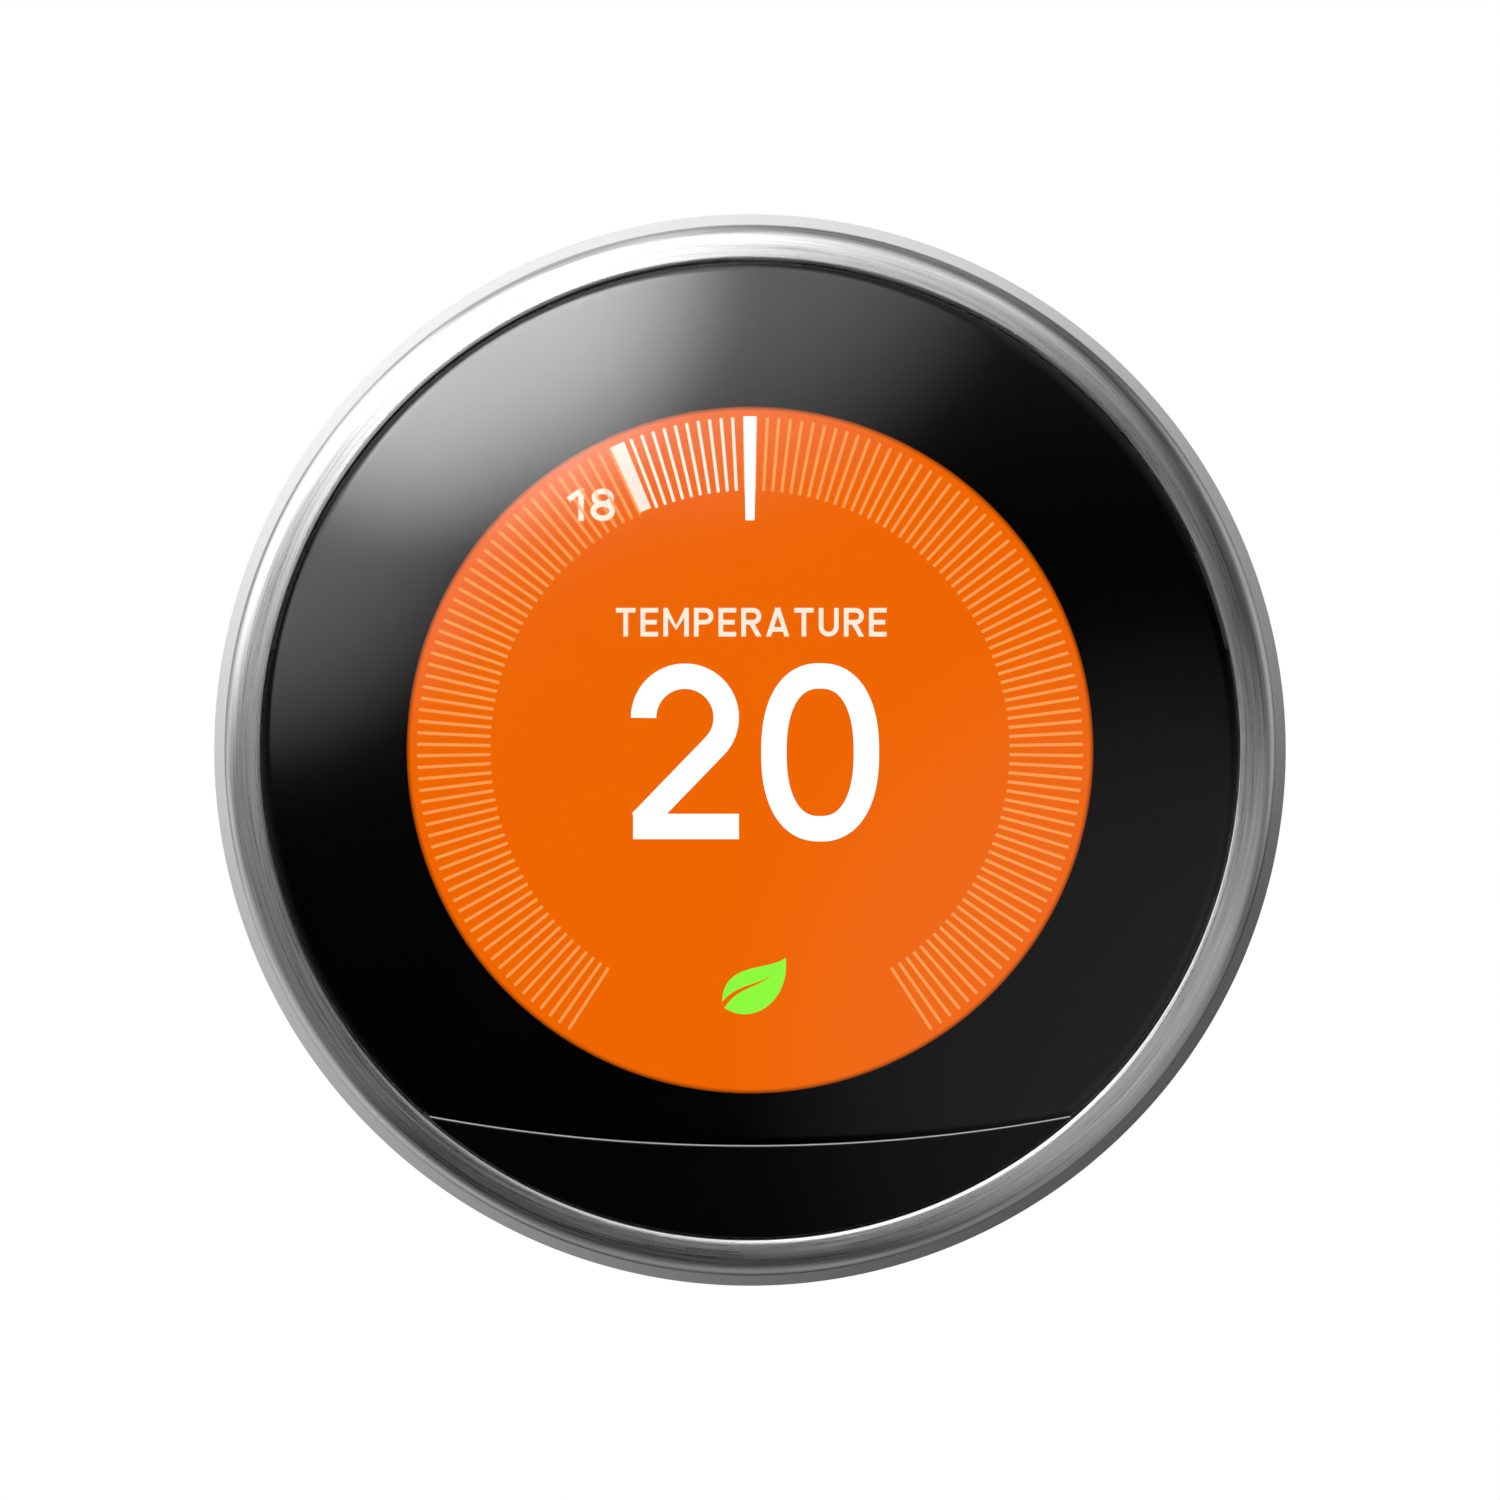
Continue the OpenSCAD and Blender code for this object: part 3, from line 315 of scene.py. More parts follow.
addCamera()
addSky()
addFills()
addFloor()
bpy.context.scene.view_settings.view_transform = "Standard"
print("camera, sky and floor ready")


# Finishes of the outside

def roughSpan(middle, swing):
    # From 0.3 to 0.7 is where nearly all of a noise's values lie
    return {"From Min": 0.3, "From Max": 0.7, "To Min": middle - swing, "To Max": middle + swing}


def brushedSteel(look):
    # 304 stainless steel, brushed while it turned: fine scratches run round the ring, so a
    # highlight smears across them, and broad streaks shade the band
    material, add, place = newMaterial("brushedStainlessSteel")
    axes = add("SeparateXYZ", {"Vector": place})
    flat = add("CombineXYZ", {"X": (axes, "X"), "Z": (axes, "Z")})
    radius = add("VectorMath", {0: flat}, operation="LENGTH")
    way = add("VectorMath", {0: flat}, operation="NORMALIZE")
    reach = 1 / look["length"]                        # a scratch's length as a share of the radius
    along = add("VectorMath", {"Scale": reach, 0: way}, operation="SCALE")
    gauge = 1 / (look["spacing"] * mm)
    across = add("Math", {1: gauge, 0: (radius, "Value")}, operation="MULTIPLY")
    rise = add("Math", {1: gauge, 0: (axes, "Y")}, operation="MULTIPLY")
    side = add("Math", {0: across, 1: rise}, operation="ADD")
    offset = add("CombineXYZ", {"Y": side})
    grain = add("VectorMath", {0: along, 1: offset}, operation="ADD")
    scratch = add("TexNoise", {"Scale": 1.0, "Detail": 4.0, "Roughness": 0.6, "Vector": grain})
    sharp = add("MapRange", {"From Min": 0.34, "From Max": 0.66, "Value": scratch})
    rough = add("MapRange", {**roughSpan(look["rough"], 0.04), "Value": scratch})
    around = add("Tangent", direction_type="RADIAL", axis="Y")
    finishSurface(add, {"Metallic": 1.0, "Anisotropic": look["anisotropy"], "Anisotropic Rotation": 0.25,
                        "Roughness": rough, "Tangent": around}, (look["dark"], look["light"], sharp),
                  (scratch, 1.0, look["relief"]))
    return material


satin = {"grain": 0.12, "relief": 0.0004, "strength": 0.12}
hardCoat = {"Coat Weight": 1.0, "Coat IOR": 1.5, "Coat Roughness": 0.08}
clearBody = {"Base Color": (1, 1, 1, 1), "Transmission Weight": 1.0, "Roughness": 0.0,
             "Specular IOR Level": 0.0}


def satinGrain(add, place):
    # The hard coat's own faint grain
    grain = add("TexNoise", {"Scale": 1 / (satin["grain"] * mm), "Detail": 1.0, "Vector": place})
    return add("Bump", {"Strength": satin["strength"], "Distance": satin["relief"] * mm, "Height": grain})


def hardCoatedLens():
    # Clear polycarbonate with a satin hard coat: the coat carries all the reflection, and the
    # body lets the picture through sharp
    material, add, place = newMaterial("hardCoatedPolycarbonate")
    finishSurface(add, {**clearBody, **hardCoat, "IOR": 1.49, "Coat Normal": satinGrain(add, place)})
    return material


def gluedBack():
    # The lens's back is wetted by clear glue of nearly its own index, so nothing mirrors there
    material, add, _ = newMaterial("gluedPolycarbonate")
    finishSurface(add, {**clearBody, "IOR": 1.001})
    return material


def darkWindow():
    # Infrared-clear polycarbonate that looks black, under the same satin hard coat
    material, add, place = newMaterial("darkInfraredPolycarbonate")
    melt = add("TexNoise", {"Scale": 1 / (3 * mm), "Vector": place})
    finishSurface(add, {**hardCoat, "Roughness": 0.5, "IOR": 1.49, "Specular IOR Level": 0.0,
                        "Coat Normal": satinGrain(add, place)}, ("#040404", "#060606", melt))
    return material


def litGlass(look):
    # Backlit display glass: even orange, darkening over a soft rim to a dark brown that is painted shade,
    # standing in for the shade the lens's edge throws on the picture
    material, add, place = newMaterial("litDisplayGlass")
    flat = add("VectorMath", {1: (1 / mm, 0, 1 / mm), 0: place}, operation="MULTIPLY")
    radius = add("VectorMath", {0: flat}, operation="LENGTH")
    # Painted shade: towards the picture's rim the emitted colour darkens to the edge colour
    rim = add("MapRange", {"From Min": look["radius"] - look["rimShadeWidth"], "From Max": look["radius"],
                           "Value": (radius, "Value")}, interpolation_type="SMOOTHSTEP")
    haze = add("TexNoise", {"Scale": 1 / (9 * mm), "Detail": 1.0, "Vector": place})
    middle = add("Mix", {6: linear(look["colour"]), 7: linear(look["hazed"]), "Factor": haze},
                 data_type="RGBA")
    tone = add("Mix", {7: linear(look["edge"]), "Factor": rim, 6: (middle, 2)}, data_type="RGBA")
    finishSurface(add, {"Base Color": (0, 0, 0, 1), "Roughness": 0.4, "Specular IOR Level": 0.0,
                        "Emission Strength": look["glow"], "Emission Color": (tone, 2)})
    return material


def litPixels(name, colour, dimmer, glow):
    # One lit colour of the display, with the panel's faint unevenness
    material, add, place = newMaterial(name)
    haze = add("TexNoise", {"Scale": 1 / (0.6 * mm), "Vector": place})
    tone = add("Mix", {6: linear(colour), 7: linear(dimmer), "Factor": haze}, data_type="RGBA")
    finishSurface(add, {"Base Color": (0, 0, 0, 1), "Roughness": 0.5, "Specular IOR Level": 0.0,
                        "Emission Strength": glow, "Emission Color": (tone, 2)})
    return material


# The turning ring

# Its scratches are coarser than real grit, so that they show
ring = {
    "radius": 42.0, "band": 2.85, "flare": 1.5, "wall": 1.3, "crownHeight": 2.15,
    "crownPower": 3.0, "bandSlope": 0.08, "bevel": 0.07, "lip": 1.1, "foot": 1.2,
    "backGap": 0.05, "innerDrop": 0.4, "innerStep": 0.5,
    "crownSteps": 48, "footSteps": 12, "segments": 720,
    "steel": {"light": "#F0F0F0", "dark": "#C4C4C5", "spacing": 0.16, "length": 0.25,
              "relief": 0.0022, "rough": 0.29, "anisotropy": 0.75},
}


def ringProfile():
    # Front band and crown follow a superellipse from the inner bevel to the top of the flank;
    # the flank is straight, and a quarter circle rounds the foot
    front, back = face["ringFront"] / mm, face["ringBack"] / mm
    flank = ring["radius"] - ring["flare"]
    bore = flank - ring["band"]
    shoulder = front - ring["crownHeight"]
    t = np.radians(np.linspace(0, 90, ring["crownSteps"] + 1))
    across = (flank - bore - ring["bevel"]) * np.sin(t) ** (2 / ring["crownPower"])
    up = ring["crownHeight"] * np.maximum(np.cos(t), 0) ** (2 / ring["crownPower"])
    crown = np.stack([bore + ring["bevel"] + across,
                      shoulder + up - ring["bandSlope"] * across * up / ring["crownHeight"]], -1)
    foot = arcPoints((ring["radius"] - ring["foot"], back + ring["foot"]), ring["foot"], 0, -90,
                     ring["footSteps"])
    top = shoulder - ring["innerDrop"]
    backRadius = ring["radius"] - ring["wall"]
    topRadius = backRadius - ring["flare"] * (top - back) / (shoulder - back)
    inside = [(backRadius, back + ring["backGap"]), (topRadius, top),
              (topRadius - ring["innerStep"], front - ring["lip"]), (bore, front - ring["lip"])]
    return np.vstack([[(bore, front - ring["bevel"])], crown, foot, inside]) * mm


# Lens and sensor window

lens = {
    "sag": 1.0, "bevel": 0.05, "seamRadius": 136.6, "seamDrop": 30.4, "seamGap": 0.12,
    "air": 0.02, "windowMiddle": 34.0, "around": 720, "out": 48, "bevelSteps": 4,
}


def domeHeight(radius):
    # Spherical cap through the crown, falling by the sag at the lens's edge
    ball = (face["lensRadius"] ** 2 + (lens["sag"] * mm) ** 2) / (2 * lens["sag"] * mm)
    return face["lensFront"] - ball + np.sqrt(ball ** 2 - radius ** 2)


def lensOutline(side, inset=0.0):
    # side 1 is the lens above the seam, -1 the window below it. The outline runs along the
    # lens's circle, then back along the seam's circle, both moved in by inset.
    outer = face["lensRadius"] - inset
    middle = (lens["seamRadius"] - lens["seamDrop"]) * mm
    seam = lens["seamRadius"] * mm - side * (lens["seamGap"] * mm / 2 + inset)
    z = (outer ** 2 - seam ** 2 + middle ** 2) / (2 * middle)
    corner = math.atan2(z, math.sqrt(outer ** 2 - z ** 2))
    alongCircle = lens["around"] * 3 // 4
    alongSeam = lens["around"] - alongCircle
    if side > 0:
        turn = np.linspace(corner, math.pi - corner, alongCircle, endpoint=False)
    else:
        turn = np.linspace(math.pi - corner, 2 * math.pi + corner, alongCircle, endpoint=False)
    circle = np.stack([outer * np.cos(turn), outer * np.sin(turn)], -1)
    reach = math.acos((middle - z) / seam)
    sweep = np.linspace(-reach, reach, alongSeam, endpoint=False) * side
    arc = np.stack([seam * np.sin(sweep), middle - seam * np.cos(sweep)], -1)
    return np.vstack([circle, arc])


def lensSolid(side):
    # Rings of the outline, shrunk to a point in its middle, make the front and back; a quarter
    # round joins the front to the side
    edge = lensOutline(side)
    middle = np.array([0.0, 0.0 if side > 0 else -lens["windowMiddle"] * mm])
    bevel = lens["bevel"] * mm
    back = face["lensBack"] + lens["air"] * mm
    share = np.linspace(1 / lens["out"], 1, lens["out"])[:, None, None]
    front = middle + (lensOutline(side, bevel) - middle)[None] * share
    drops = [np.zeros(front.shape[:2])]
    rings = [front]
    for angle in np.linspace(0, math.pi / 2, lens["bevelSteps"] + 1)[1:]:
        rings.append(lensOutline(side, bevel * (1 - math.sin(angle)))[None])
        drops.append(np.full((1, len(edge)), bevel * (1 - math.cos(angle))))
    flat = np.concatenate(rings)
    radius = np.minimum(np.linalg.norm(flat, axis=2), face["lensRadius"])
    height = domeHeight(radius) - np.concatenate(drops)
    flat = np.concatenate([flat, edge[None], (middle + (edge - middle) * 0.5)[None]])
    height = np.concatenate([height, np.full((2, len(edge)), back)])
    points = np.stack([flat[..., 0], -height, flat[..., 1]], -1).reshape(-1, 3)
    rows, columns = height.shape
    tips = [[middle[0], -height, middle[1]] for height in (domeHeight(np.linalg.norm(middle)), back)]
    j = np.arange(columns)
    k = (j + 1) % columns
    last = (rows - 1) * columns
    frontTip = np.stack([np.full(columns, len(points)), j, k], -1)
    backTip = np.stack([np.full(columns, len(points) + 1), last + k, last + j], -1)
    return np.vstack([points, tips]), [gridFaces(rows, columns, False, True), frontTip, backTip]


def bondBack(piece, material):
    # Faces level with the lens's back take the glued finish
    mesh = piece.data
    mesh.materials.append(material)
    middles = np.empty(3 * len(mesh.polygons))
    mesh.polygons.foreach_get("center", middles)
    behind = -middles[1::3] < face["lensBack"] + 2 * lens["air"] * mm
    mesh.polygons.foreach_set("material_index", behind.astype(int))


highlightBead = {"width": 0.07, "sunk": 0.02, "reach": 24.6, "steps": 120}


def seamSeal():
    # A bead along the seam's circle, whose top follows the dome just under its surface. Its pale colour is
    # a painted highlight, standing in for the bright line of light along the seam's edge.
    span = math.asin(highlightBead["reach"] / lens["seamRadius"])
    sweep = np.linspace(-span, span, highlightBead["steps"])
    middle = lens["seamRadius"] - lens["seamDrop"]
    path = np.stack([lens["seamRadius"] * np.sin(sweep), middle - lens["seamRadius"] * np.cos(sweep)], -1)
    top = domeHeight(np.linalg.norm(path, axis=1) * mm) / mm - highlightBead["sunk"]
    return stroke(path, highlightBead["width"], face["lensBack"] / mm + 2 * lens["air"], top)


# Signs on the display

sign = {"low": 27.83, "high": 27.87, "step": 0.002}       # heights of the lit layer over the wall

dial = {
    "first": -147, "last": 147, "step": 2, "inner": 19.95, "outer": 25.6, "width": 0.24,
    "brightFrom": -21, "brightTo": -3, "pointerInner": 17.65, "pointerOuter": 25.65,
    "pointerWidths": (0.7, 1.0), "targetAngle": -23.5, "targetInner": 20.1,
    "targetWidths": (0.9, 1.15), "lift": 0.01, "clear": 1,      # no tick this near to the target's mark
}


def spoke(angle, inner, outer, innerWidth, outerWidth, lift=0.0):
    # A radial bar at an angle clockwise from the top
    a = math.radians(angle)
    way = np.array([math.sin(a), math.cos(a)])
    return stroke([inner * way, outer * way], [innerWidth, outerWidth], sign["low"] + lift,
                  sign["high"] + lift)


def line(*points):
    return np.array(points, float)


def placed(strokes, x, y, width, low=sign["low"], high=sign["high"]):
    # Strokes are (path, closed, cut) in mm with the baseline at 0. Each stands a hair higher
    # than the last, so that no two faces share a plane.
    made = []
    for number, (path, closed, cut) in enumerate(strokes):
        foot = None if cut is None else cut + y
        made.append(stroke(path + (x, y), width, low, high + sign["step"] * number, closed, foot))
    return made


def opened(*paths):
    # Strokes that don't close and are cut square
    return [(path, False, None) for path in paths]


def figureTwo(width, height, weight):
    # Half circle over the top, then its tangent down to the foot bar
    radius = (width - weight) / 2
    centre = np.array([width / 2, height - weight / 2 - radius])
    target = np.array([weight * 0.72, weight]) - centre
    reach = math.hypot(*target)
    leave = math.degrees(math.asin(radius / reach) + math.atan2(-target[0], -target[1]))
    bowl = np.vstack([[(weight / 2, centre[1] - 0.01)], arcPoints(centre, radius, 180, -leave, 40)])
    slope = bowl[-1] + (centre + target - bowl[-1]) * np.linspace(0.08, 1, 12)[:, None]
    bar = line((0.02 * width, weight / 2), (width, weight / 2))
    return [(np.vstack([bowl, slope]), False, weight)] + opened(bar)


zeroPower = 2.35


def figureZero(width, height, weight):
    # Superellipse: cosine and sine of the angle, each raised to 2 over the power
    t = np.radians(np.linspace(0, 360, 96, endpoint=False))
    x, y = [np.sign(part) * np.abs(part) ** (2 / zeroPower) for part in (np.cos(t), np.sin(t))]
    path = np.stack([width / 2 + x * (width - weight) / 2, height / 2 + y * (height - weight) / 2], -1)
    return [(path, True, None)]


def figureOne(width, height, weight):
    # A stem, and a flag that slants down from its top
    stem = line((width - weight / 2, 0), (width - weight / 2, height))
    return opened(stem, line((width - weight * 0.9, height - weight * 0.62), (0, height - width * 0.72)))


def figureThree(width, height, weight):
    # Two arcs that meet at the waist, the lower a little larger
    upper, lower = (height - weight) * 0.235, (height - weight) * 0.265
    return opened(arcPoints((width * 0.46, height - weight / 2 - upper), upper, 155, -90, 20),
                  arcPoints((width * 0.46, weight / 2 + lower), lower, 90, -155, 20))


def figureFour(width, height, weight):
    # A slope, a level bar and a stem
    level, stem = height * 0.27, width * 0.74
    return opened(line((stem - weight * 0.3, height), (weight * 0.4, level)),
                  line((0, level), (width, level)), line((stem, 0), (stem, height)))


def figureFive(width, height, weight):
    # A top bar, a short stem and an arc
    radius = (height - weight) * 0.31
    return opened(line((weight, height - weight / 2), (width * 0.94, height - weight / 2)),
                  line((weight * 0.9, height), (weight * 0.7, height * 0.5)),
                  arcPoints((width * 0.42, weight / 2 + radius), radius, 125, -145, 24))


def figureSix(width, height, weight):
    # A circle, and a cubic curve that rises from its left side
    radius = (width - weight) / 2
    bowl = arcPoints((width / 2, weight / 2 + radius), radius, 0, 360, 36)[:-1]
    back = bezier((weight / 2, weight / 2 + radius), (weight / 2, height * 0.72),
                  (width * 0.4, height * 0.9), (width * 0.78, height - weight * 0.3), 12)
    return [(bowl, True, None)] + opened(back)


def figureSeven(width, height, weight):
    # A top bar and a slope
    return opened(line((0, height - weight / 2), (width, height - weight / 2)),
                  line((width - weight * 0.6, height - weight / 2), (width * 0.32, 0)))


def figureEight(width, height, weight):
    # Two circles, stretched upwards until together they fill the height
    upper, lower = (width - weight) / 2 * 0.88, (width - weight) / 2
    high = height - weight / 2
    stretch = (high - weight / 2) / (2 * upper + 2 * lower)
    middle = weight / 2 + 2 * lower * stretch
    turn = np.radians(np.linspace(0, 360, 48, endpoint=False))
    loop = np.stack([np.cos(turn), stretch * np.sin(turn)], -1)
    return [(loop * upper + (width / 2, (high + middle) / 2), True, None),
            (loop * lower + (width / 2, (middle + weight / 2) / 2), True, None)]


def figureNine(width, height, weight):
    # A six turned half round
    return [((width, height) - path, closed, cut) for path, closed, cut in figureSix(width, height, weight)]


figures = [figureZero, figureOne, figureTwo, figureThree, figureFour, figureFive, figureSix,
           figureSeven, figureEight, figureNine]


# Each figure's width, height, left end and base, in mm
reading = {"weight": 1.95, "figures": [(2, 8.3, 13.5, -9.15, -6.85), (0, 9.06, 13.7, 0.86, -7.03)]}
target = {"weight": 0.43, "figures": [(1, 1.2, 2.5, -13.97, 17.6), (8, 1.88, 2.5, -12.26, 17.6)]}


def numberStrokes(number):
    made = []
    for digit, width, height, left, base in number["figures"]:
        strokes = figures[digit](width, height, number["weight"])
        made += placed(strokes, left, base, number["weight"])
    return made


def capital(letter, w, h, t):
    # Plain capitals of straight bars and half rounds: width w, height h, stroke t
    left, right, top, low = t / 2, w - t / 2, h - t / 2, t / 2
    waist = h * 0.5
    bowl = (top - waist) / 2
    curve = (w - t) / 2
    stem = line((left, 0), (left, h))
    half = arcPoints((right - bowl, waist + bowl), bowl, 90, -90, 14)
    foot = arcPoints((w / 2, left + curve), curve, 180, 360, 18)
    shapes = {
        "T": [line((0, top), (w, top)), line((w / 2, 0), (w / 2, top - low))],
        "E": [stem, line((t, top), (w, top)), line((t, h / 2), (w * 0.92, h / 2)),
              line((t, low), (w, low))],
        "M": [stem, line((right, 0), (right, h)),
              line((left, h - t * 0.4), (w / 2, h * 0.3), (right, h - t * 0.4))],
        "P": [stem, np.vstack([[(t, top)], half, [(t, waist)]])],
        "A": [line((w / 2, h), (t * 0.45, 0)), line((w / 2, h), (w - t * 0.45, 0)),
              line((w * 0.24, h * 0.25), (w * 0.76, h * 0.25))],
        "U": [np.vstack([[(left, h)], foot, [(right, h)]])],
    }
    shapes["R"] = shapes["P"] + [line((w * 0.48, waist), (right, 0))]
    return [(path, False, 0.0 if path[-1, 1] == 0 else None) for path in shapes[letter]]


word = {
    "text": "TEMPERATURE", "left": -10.3, "right": 10.5, "base": 8.72, "height": 2.2, "weight": 0.36,
    "widths": {"T": 1.5, "E": 1.36, "M": 1.96, "P": 1.5, "R": 1.54, "A": 1.74, "U": 1.54},
}


def wordStrokes():
    # Letters keep their own widths and share the gap that fills the line
    wide = [word["widths"][c] for c in word["text"]]
    gap = (word["right"] - word["left"] - sum(wide)) / (len(wide) - 1)
    made, x = [], word["left"]
    for c, width in zip(word["text"], wide):
        made += placed(capital(c, width, word["height"], word["weight"]), x, word["base"], word["weight"])
        x += width + gap
    return made


leaf = {
    "upper": [(-2.13, -19.35), (-2.1, -16.2), (1.6, -17.0), (2.74, -15.95)],
    "lower": [(-2.0, -19.8), (0.2, -21.3), (3.1, -19.3), (2.74, -15.95)],
    "rib": [(-2.07, -19.6), (-0.6, -17.6), (1.2, -18.6), (2.74, -15.95)],
    "ribWidth": 0.4, "ribEnd": 0.8, "least": 0.004, "steps": 40,
}


def leafHalves():
    # Three curves share the tip: the upper and lower edges, and the rib between the two
    # halves, whose gap narrows to nothing before the tip
    rib = bezier(*leaf["rib"], leaf["steps"])
    along = directions(rib)
    side = np.stack([-along[:, 1], along[:, 0]], -1)
    s = np.linspace(0, 1, leaf["steps"] + 1)[:, None]
    gap = leaf["ribWidth"] / 2 * np.maximum(1 - s / leaf["ribEnd"], 0) + leaf["least"]
    upper = bezier(*leaf["upper"], leaf["steps"]) + side * 2 * leaf["least"]
    lower = bezier(*leaf["lower"], leaf["steps"]) - side * 2 * leaf["least"]
    return [flatSolid(upper, rib + side * gap, sign["low"], sign["high"]),
            flatSolid(rib - side * gap, lower, sign["low"], sign["high"])]


coverLens = makePiece("clearLens", [lensSolid(1)], hardCoatedLens(), "head", 40)
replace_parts(coverLens, "front_lens")
bondBack(coverLens, gluedBack())
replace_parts(makePiece("sensorWindow", [lensSolid(-1)], darkWindow(), "head", 40),
            "sensor_window")
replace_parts(makePiece("steelRing", [turned(ringProfile(), ring["segments"])], brushedSteel(ring["steel"]),
                      "ring", 60), "outer_ring")
print("ring and lens made")

cream = litPixels("creamPixels", "#FFF0E0", "#FFEBD8", 1.07)
white = litPixels("whitePixels", "#FFFFFF", "#FBFBFB", 1.2)
pale = litPixels("paleOrangePixels", "#FFA055", "#FF9C50", 1.05)
warm = litPixels("warmWhitePixels", "#FDEBDD", "#FCE8D8", 1.07)
green = litPixels("greenPixels", "#92FF41", "#8CFC3C", 1.05)

angles = [a for a in range(dial["first"], dial["last"] + 1, dial["step"])
          if abs(a - dial["targetAngle"]) > dial["clear"]]
bright = [a for a in angles if dial["brightFrom"] <= a <= dial["brightTo"]]
ticks = {a: spoke(a, dial["inner"], dial["outer"], dial["width"], dial["width"]) for a in angles}
pointer = spoke(0, dial["pointerInner"], dial["pointerOuter"], *dial["pointerWidths"], dial["lift"])
mark = spoke(dial["targetAngle"], dial["targetInner"], dial["outer"], *dial["targetWidths"], dial["lift"])
signs = [
    ("dialTicks", [ticks[a] for a in angles if a not in bright], pale),
    ("dialTicksBright", [ticks[a] for a in bright], cream),
    ("dialPointer", [pointer], white),
    ("targetMark", [mark], warm),
    ("readingNumber", numberStrokes(reading), white),
    ("targetNumber", numberStrokes(target), cream),
    ("readingWord", wordStrokes(), cream),
    ("leafSign", leafHalves(), green),
]
for name, parts, light in signs:
    makePiece(name, parts, light, "head")
print("display signs made")


# Finishes of the wall base and of the pieces inside

def mouldedPlastic(name, look):
    # Injection moulding from a spark-eroded tool: a fine matt grain, with broad faint shading
    # where the melt flowed
    material, add, place = newMaterial(name)
    grain = add("TexNoise", {"Scale": 1 / (look["grain"] * mm), "Detail": 3.0, "Vector": place})
    flow = add("TexNoise", {"Scale": 1 / (look.get("flow", 9) * mm), "Detail": 2.0, "Distortion": 0.6,
                            "Vector": place})
    shade = add("Math", {1: 0.8, 0: grain, 2: flow}, operation="MULTIPLY_ADD")
    spread = add("MapRange", {"From Min": 0.4, "From Max": 1.4, "Value": shade})
    rough = add("MapRange", {**roughSpan(look["rough"], 0.06), "Value": flow})
    finishSurface(add, {"IOR": look.get("ior", 1.53), "Roughness": rough},
                  (look["dark"], look["light"], spread), (grain, 1.0, look["relief"]))
    return material


def workedMetal(name, look):
    # Metal as it left its last operation: noise stretched to the marks of rolling, drawing or
    # plating, with cloudy patches of brightness
    material, add, place = newMaterial(name)
    stretched = add("Mapping", {"Scale": [1 / (s * mm) for s in look["grain"]], "Vector": place})
    marks = add("TexNoise", {"Scale": 1.0, "Detail": 3.0, "Vector": stretched})
    clouds = add("TexNoise", {"Scale": 1 / (2.2 * mm), "Detail": 2.0, "Vector": place})
    spread = add("MapRange", {"From Min": 0.33, "From Max": 0.67, "Value": clouds})
    rough = add("MapRange", {**roughSpan(look["rough"], 0.07), "Value": marks})
    finishSurface(add, {"Metallic": 1.0, "Roughness": rough}, (look["dark"], look["light"], spread),
                  (marks, 1.0, look["relief"]))
    return material


board = {"track": 0.42, "wired": 0.6, "pad": 0.16, "tin": "#CFCFC8", "relief": 0.035}


def circuitBoard(name, look):
    # FR4 laminate under solder mask: copper tracks show paler and slightly raised, changing
    # direction from zone to zone, and tinned pads stay bare
    material, add, place = newMaterial(name)
    flat = add("Mapping", {"Scale": (1 / mm, 0, 1 / mm), "Vector": place})
    axes = add("SeparateXYZ", {"Vector": flat})
    zones = add("TexVoronoi", {"Scale": 1 / look["zone"], "Randomness": 0.7, "Vector": flat},
                distance="CHEBYCHEV")
    choice = add("SeparateColor", {"Color": (zones, "Color")})
    upright = add("Math", {1: 0.5, 0: (choice, "Red")}, operation="GREATER_THAN")
    way = add("Mix", {"Factor": upright, 2: (axes, "X"), 3: (axes, "Z")})
    lanes = add("Math", {1: 1 / look["pitch"], 0: way}, operation="MULTIPLY")
    lane = add("Math", {0: lanes}, operation="FRACT")
    track = add("Math", {1: board["track"], 0: lane}, operation="LESS_THAN")
    wired = add("Math", {1: board["wired"], 0: (choice, "Green")}, operation="LESS_THAN")
    copper = add("Math", {0: track, 1: wired}, operation="MULTIPLY")
    spots = add("TexVoronoi", {"Scale": 1 / look["pads"], "Randomness": 0.45, "Vector": flat})
    pad = add("Math", {1: board["pad"], 0: (spots, "Distance")}, operation="LESS_THAN")
    mask = add("Mix", {6: linear(look["mask"]), 7: linear(look["overCopper"]), "Factor": copper},
               data_type="RGBA")
    tone = add("Mix", {7: linear(board["tin"]), "Factor": pad, 6: (mask, 2)}, data_type="RGBA")
    raised = add("Math", {0: copper, 1: pad}, operation="MAXIMUM")
    finishSurface(add, {"Roughness": 0.28, "IOR": 1.55, "Base Color": (tone, 2), "Metallic": pad},
                  relief=(raised, 0.8, board["relief"]))
    return material


polyimide = {"dark": "#8A4A10", "light": "#D0873A", "pitch": 0.5, "track": 0.55, "relief": 0.02}


def flexCircuit():
    # Amber polyimide film over etched copper lines that run its whole length
    material, add, place = newMaterial("polyimideFlexCircuit")
    axes = add("SeparateXYZ", {"Vector": place})
    lanes = add("Math", {1: 1 / (polyimide["pitch"] * mm), 0: (axes, "X")}, operation="MULTIPLY")
    lane = add("Math", {0: lanes}, operation="FRACT")
    track = add("Math", {1: polyimide["track"], 0: lane}, operation="LESS_THAN")
    finishSurface(add, {"Roughness": 0.25, "IOR": 1.7}, (polyimide["dark"], polyimide["light"], track),
                  (track, 0.7, polyimide["relief"]))
    return material


foam = {"dark": "#161616", "light": "#2C2C2B", "cell": 0.22, "relief": 0.05}


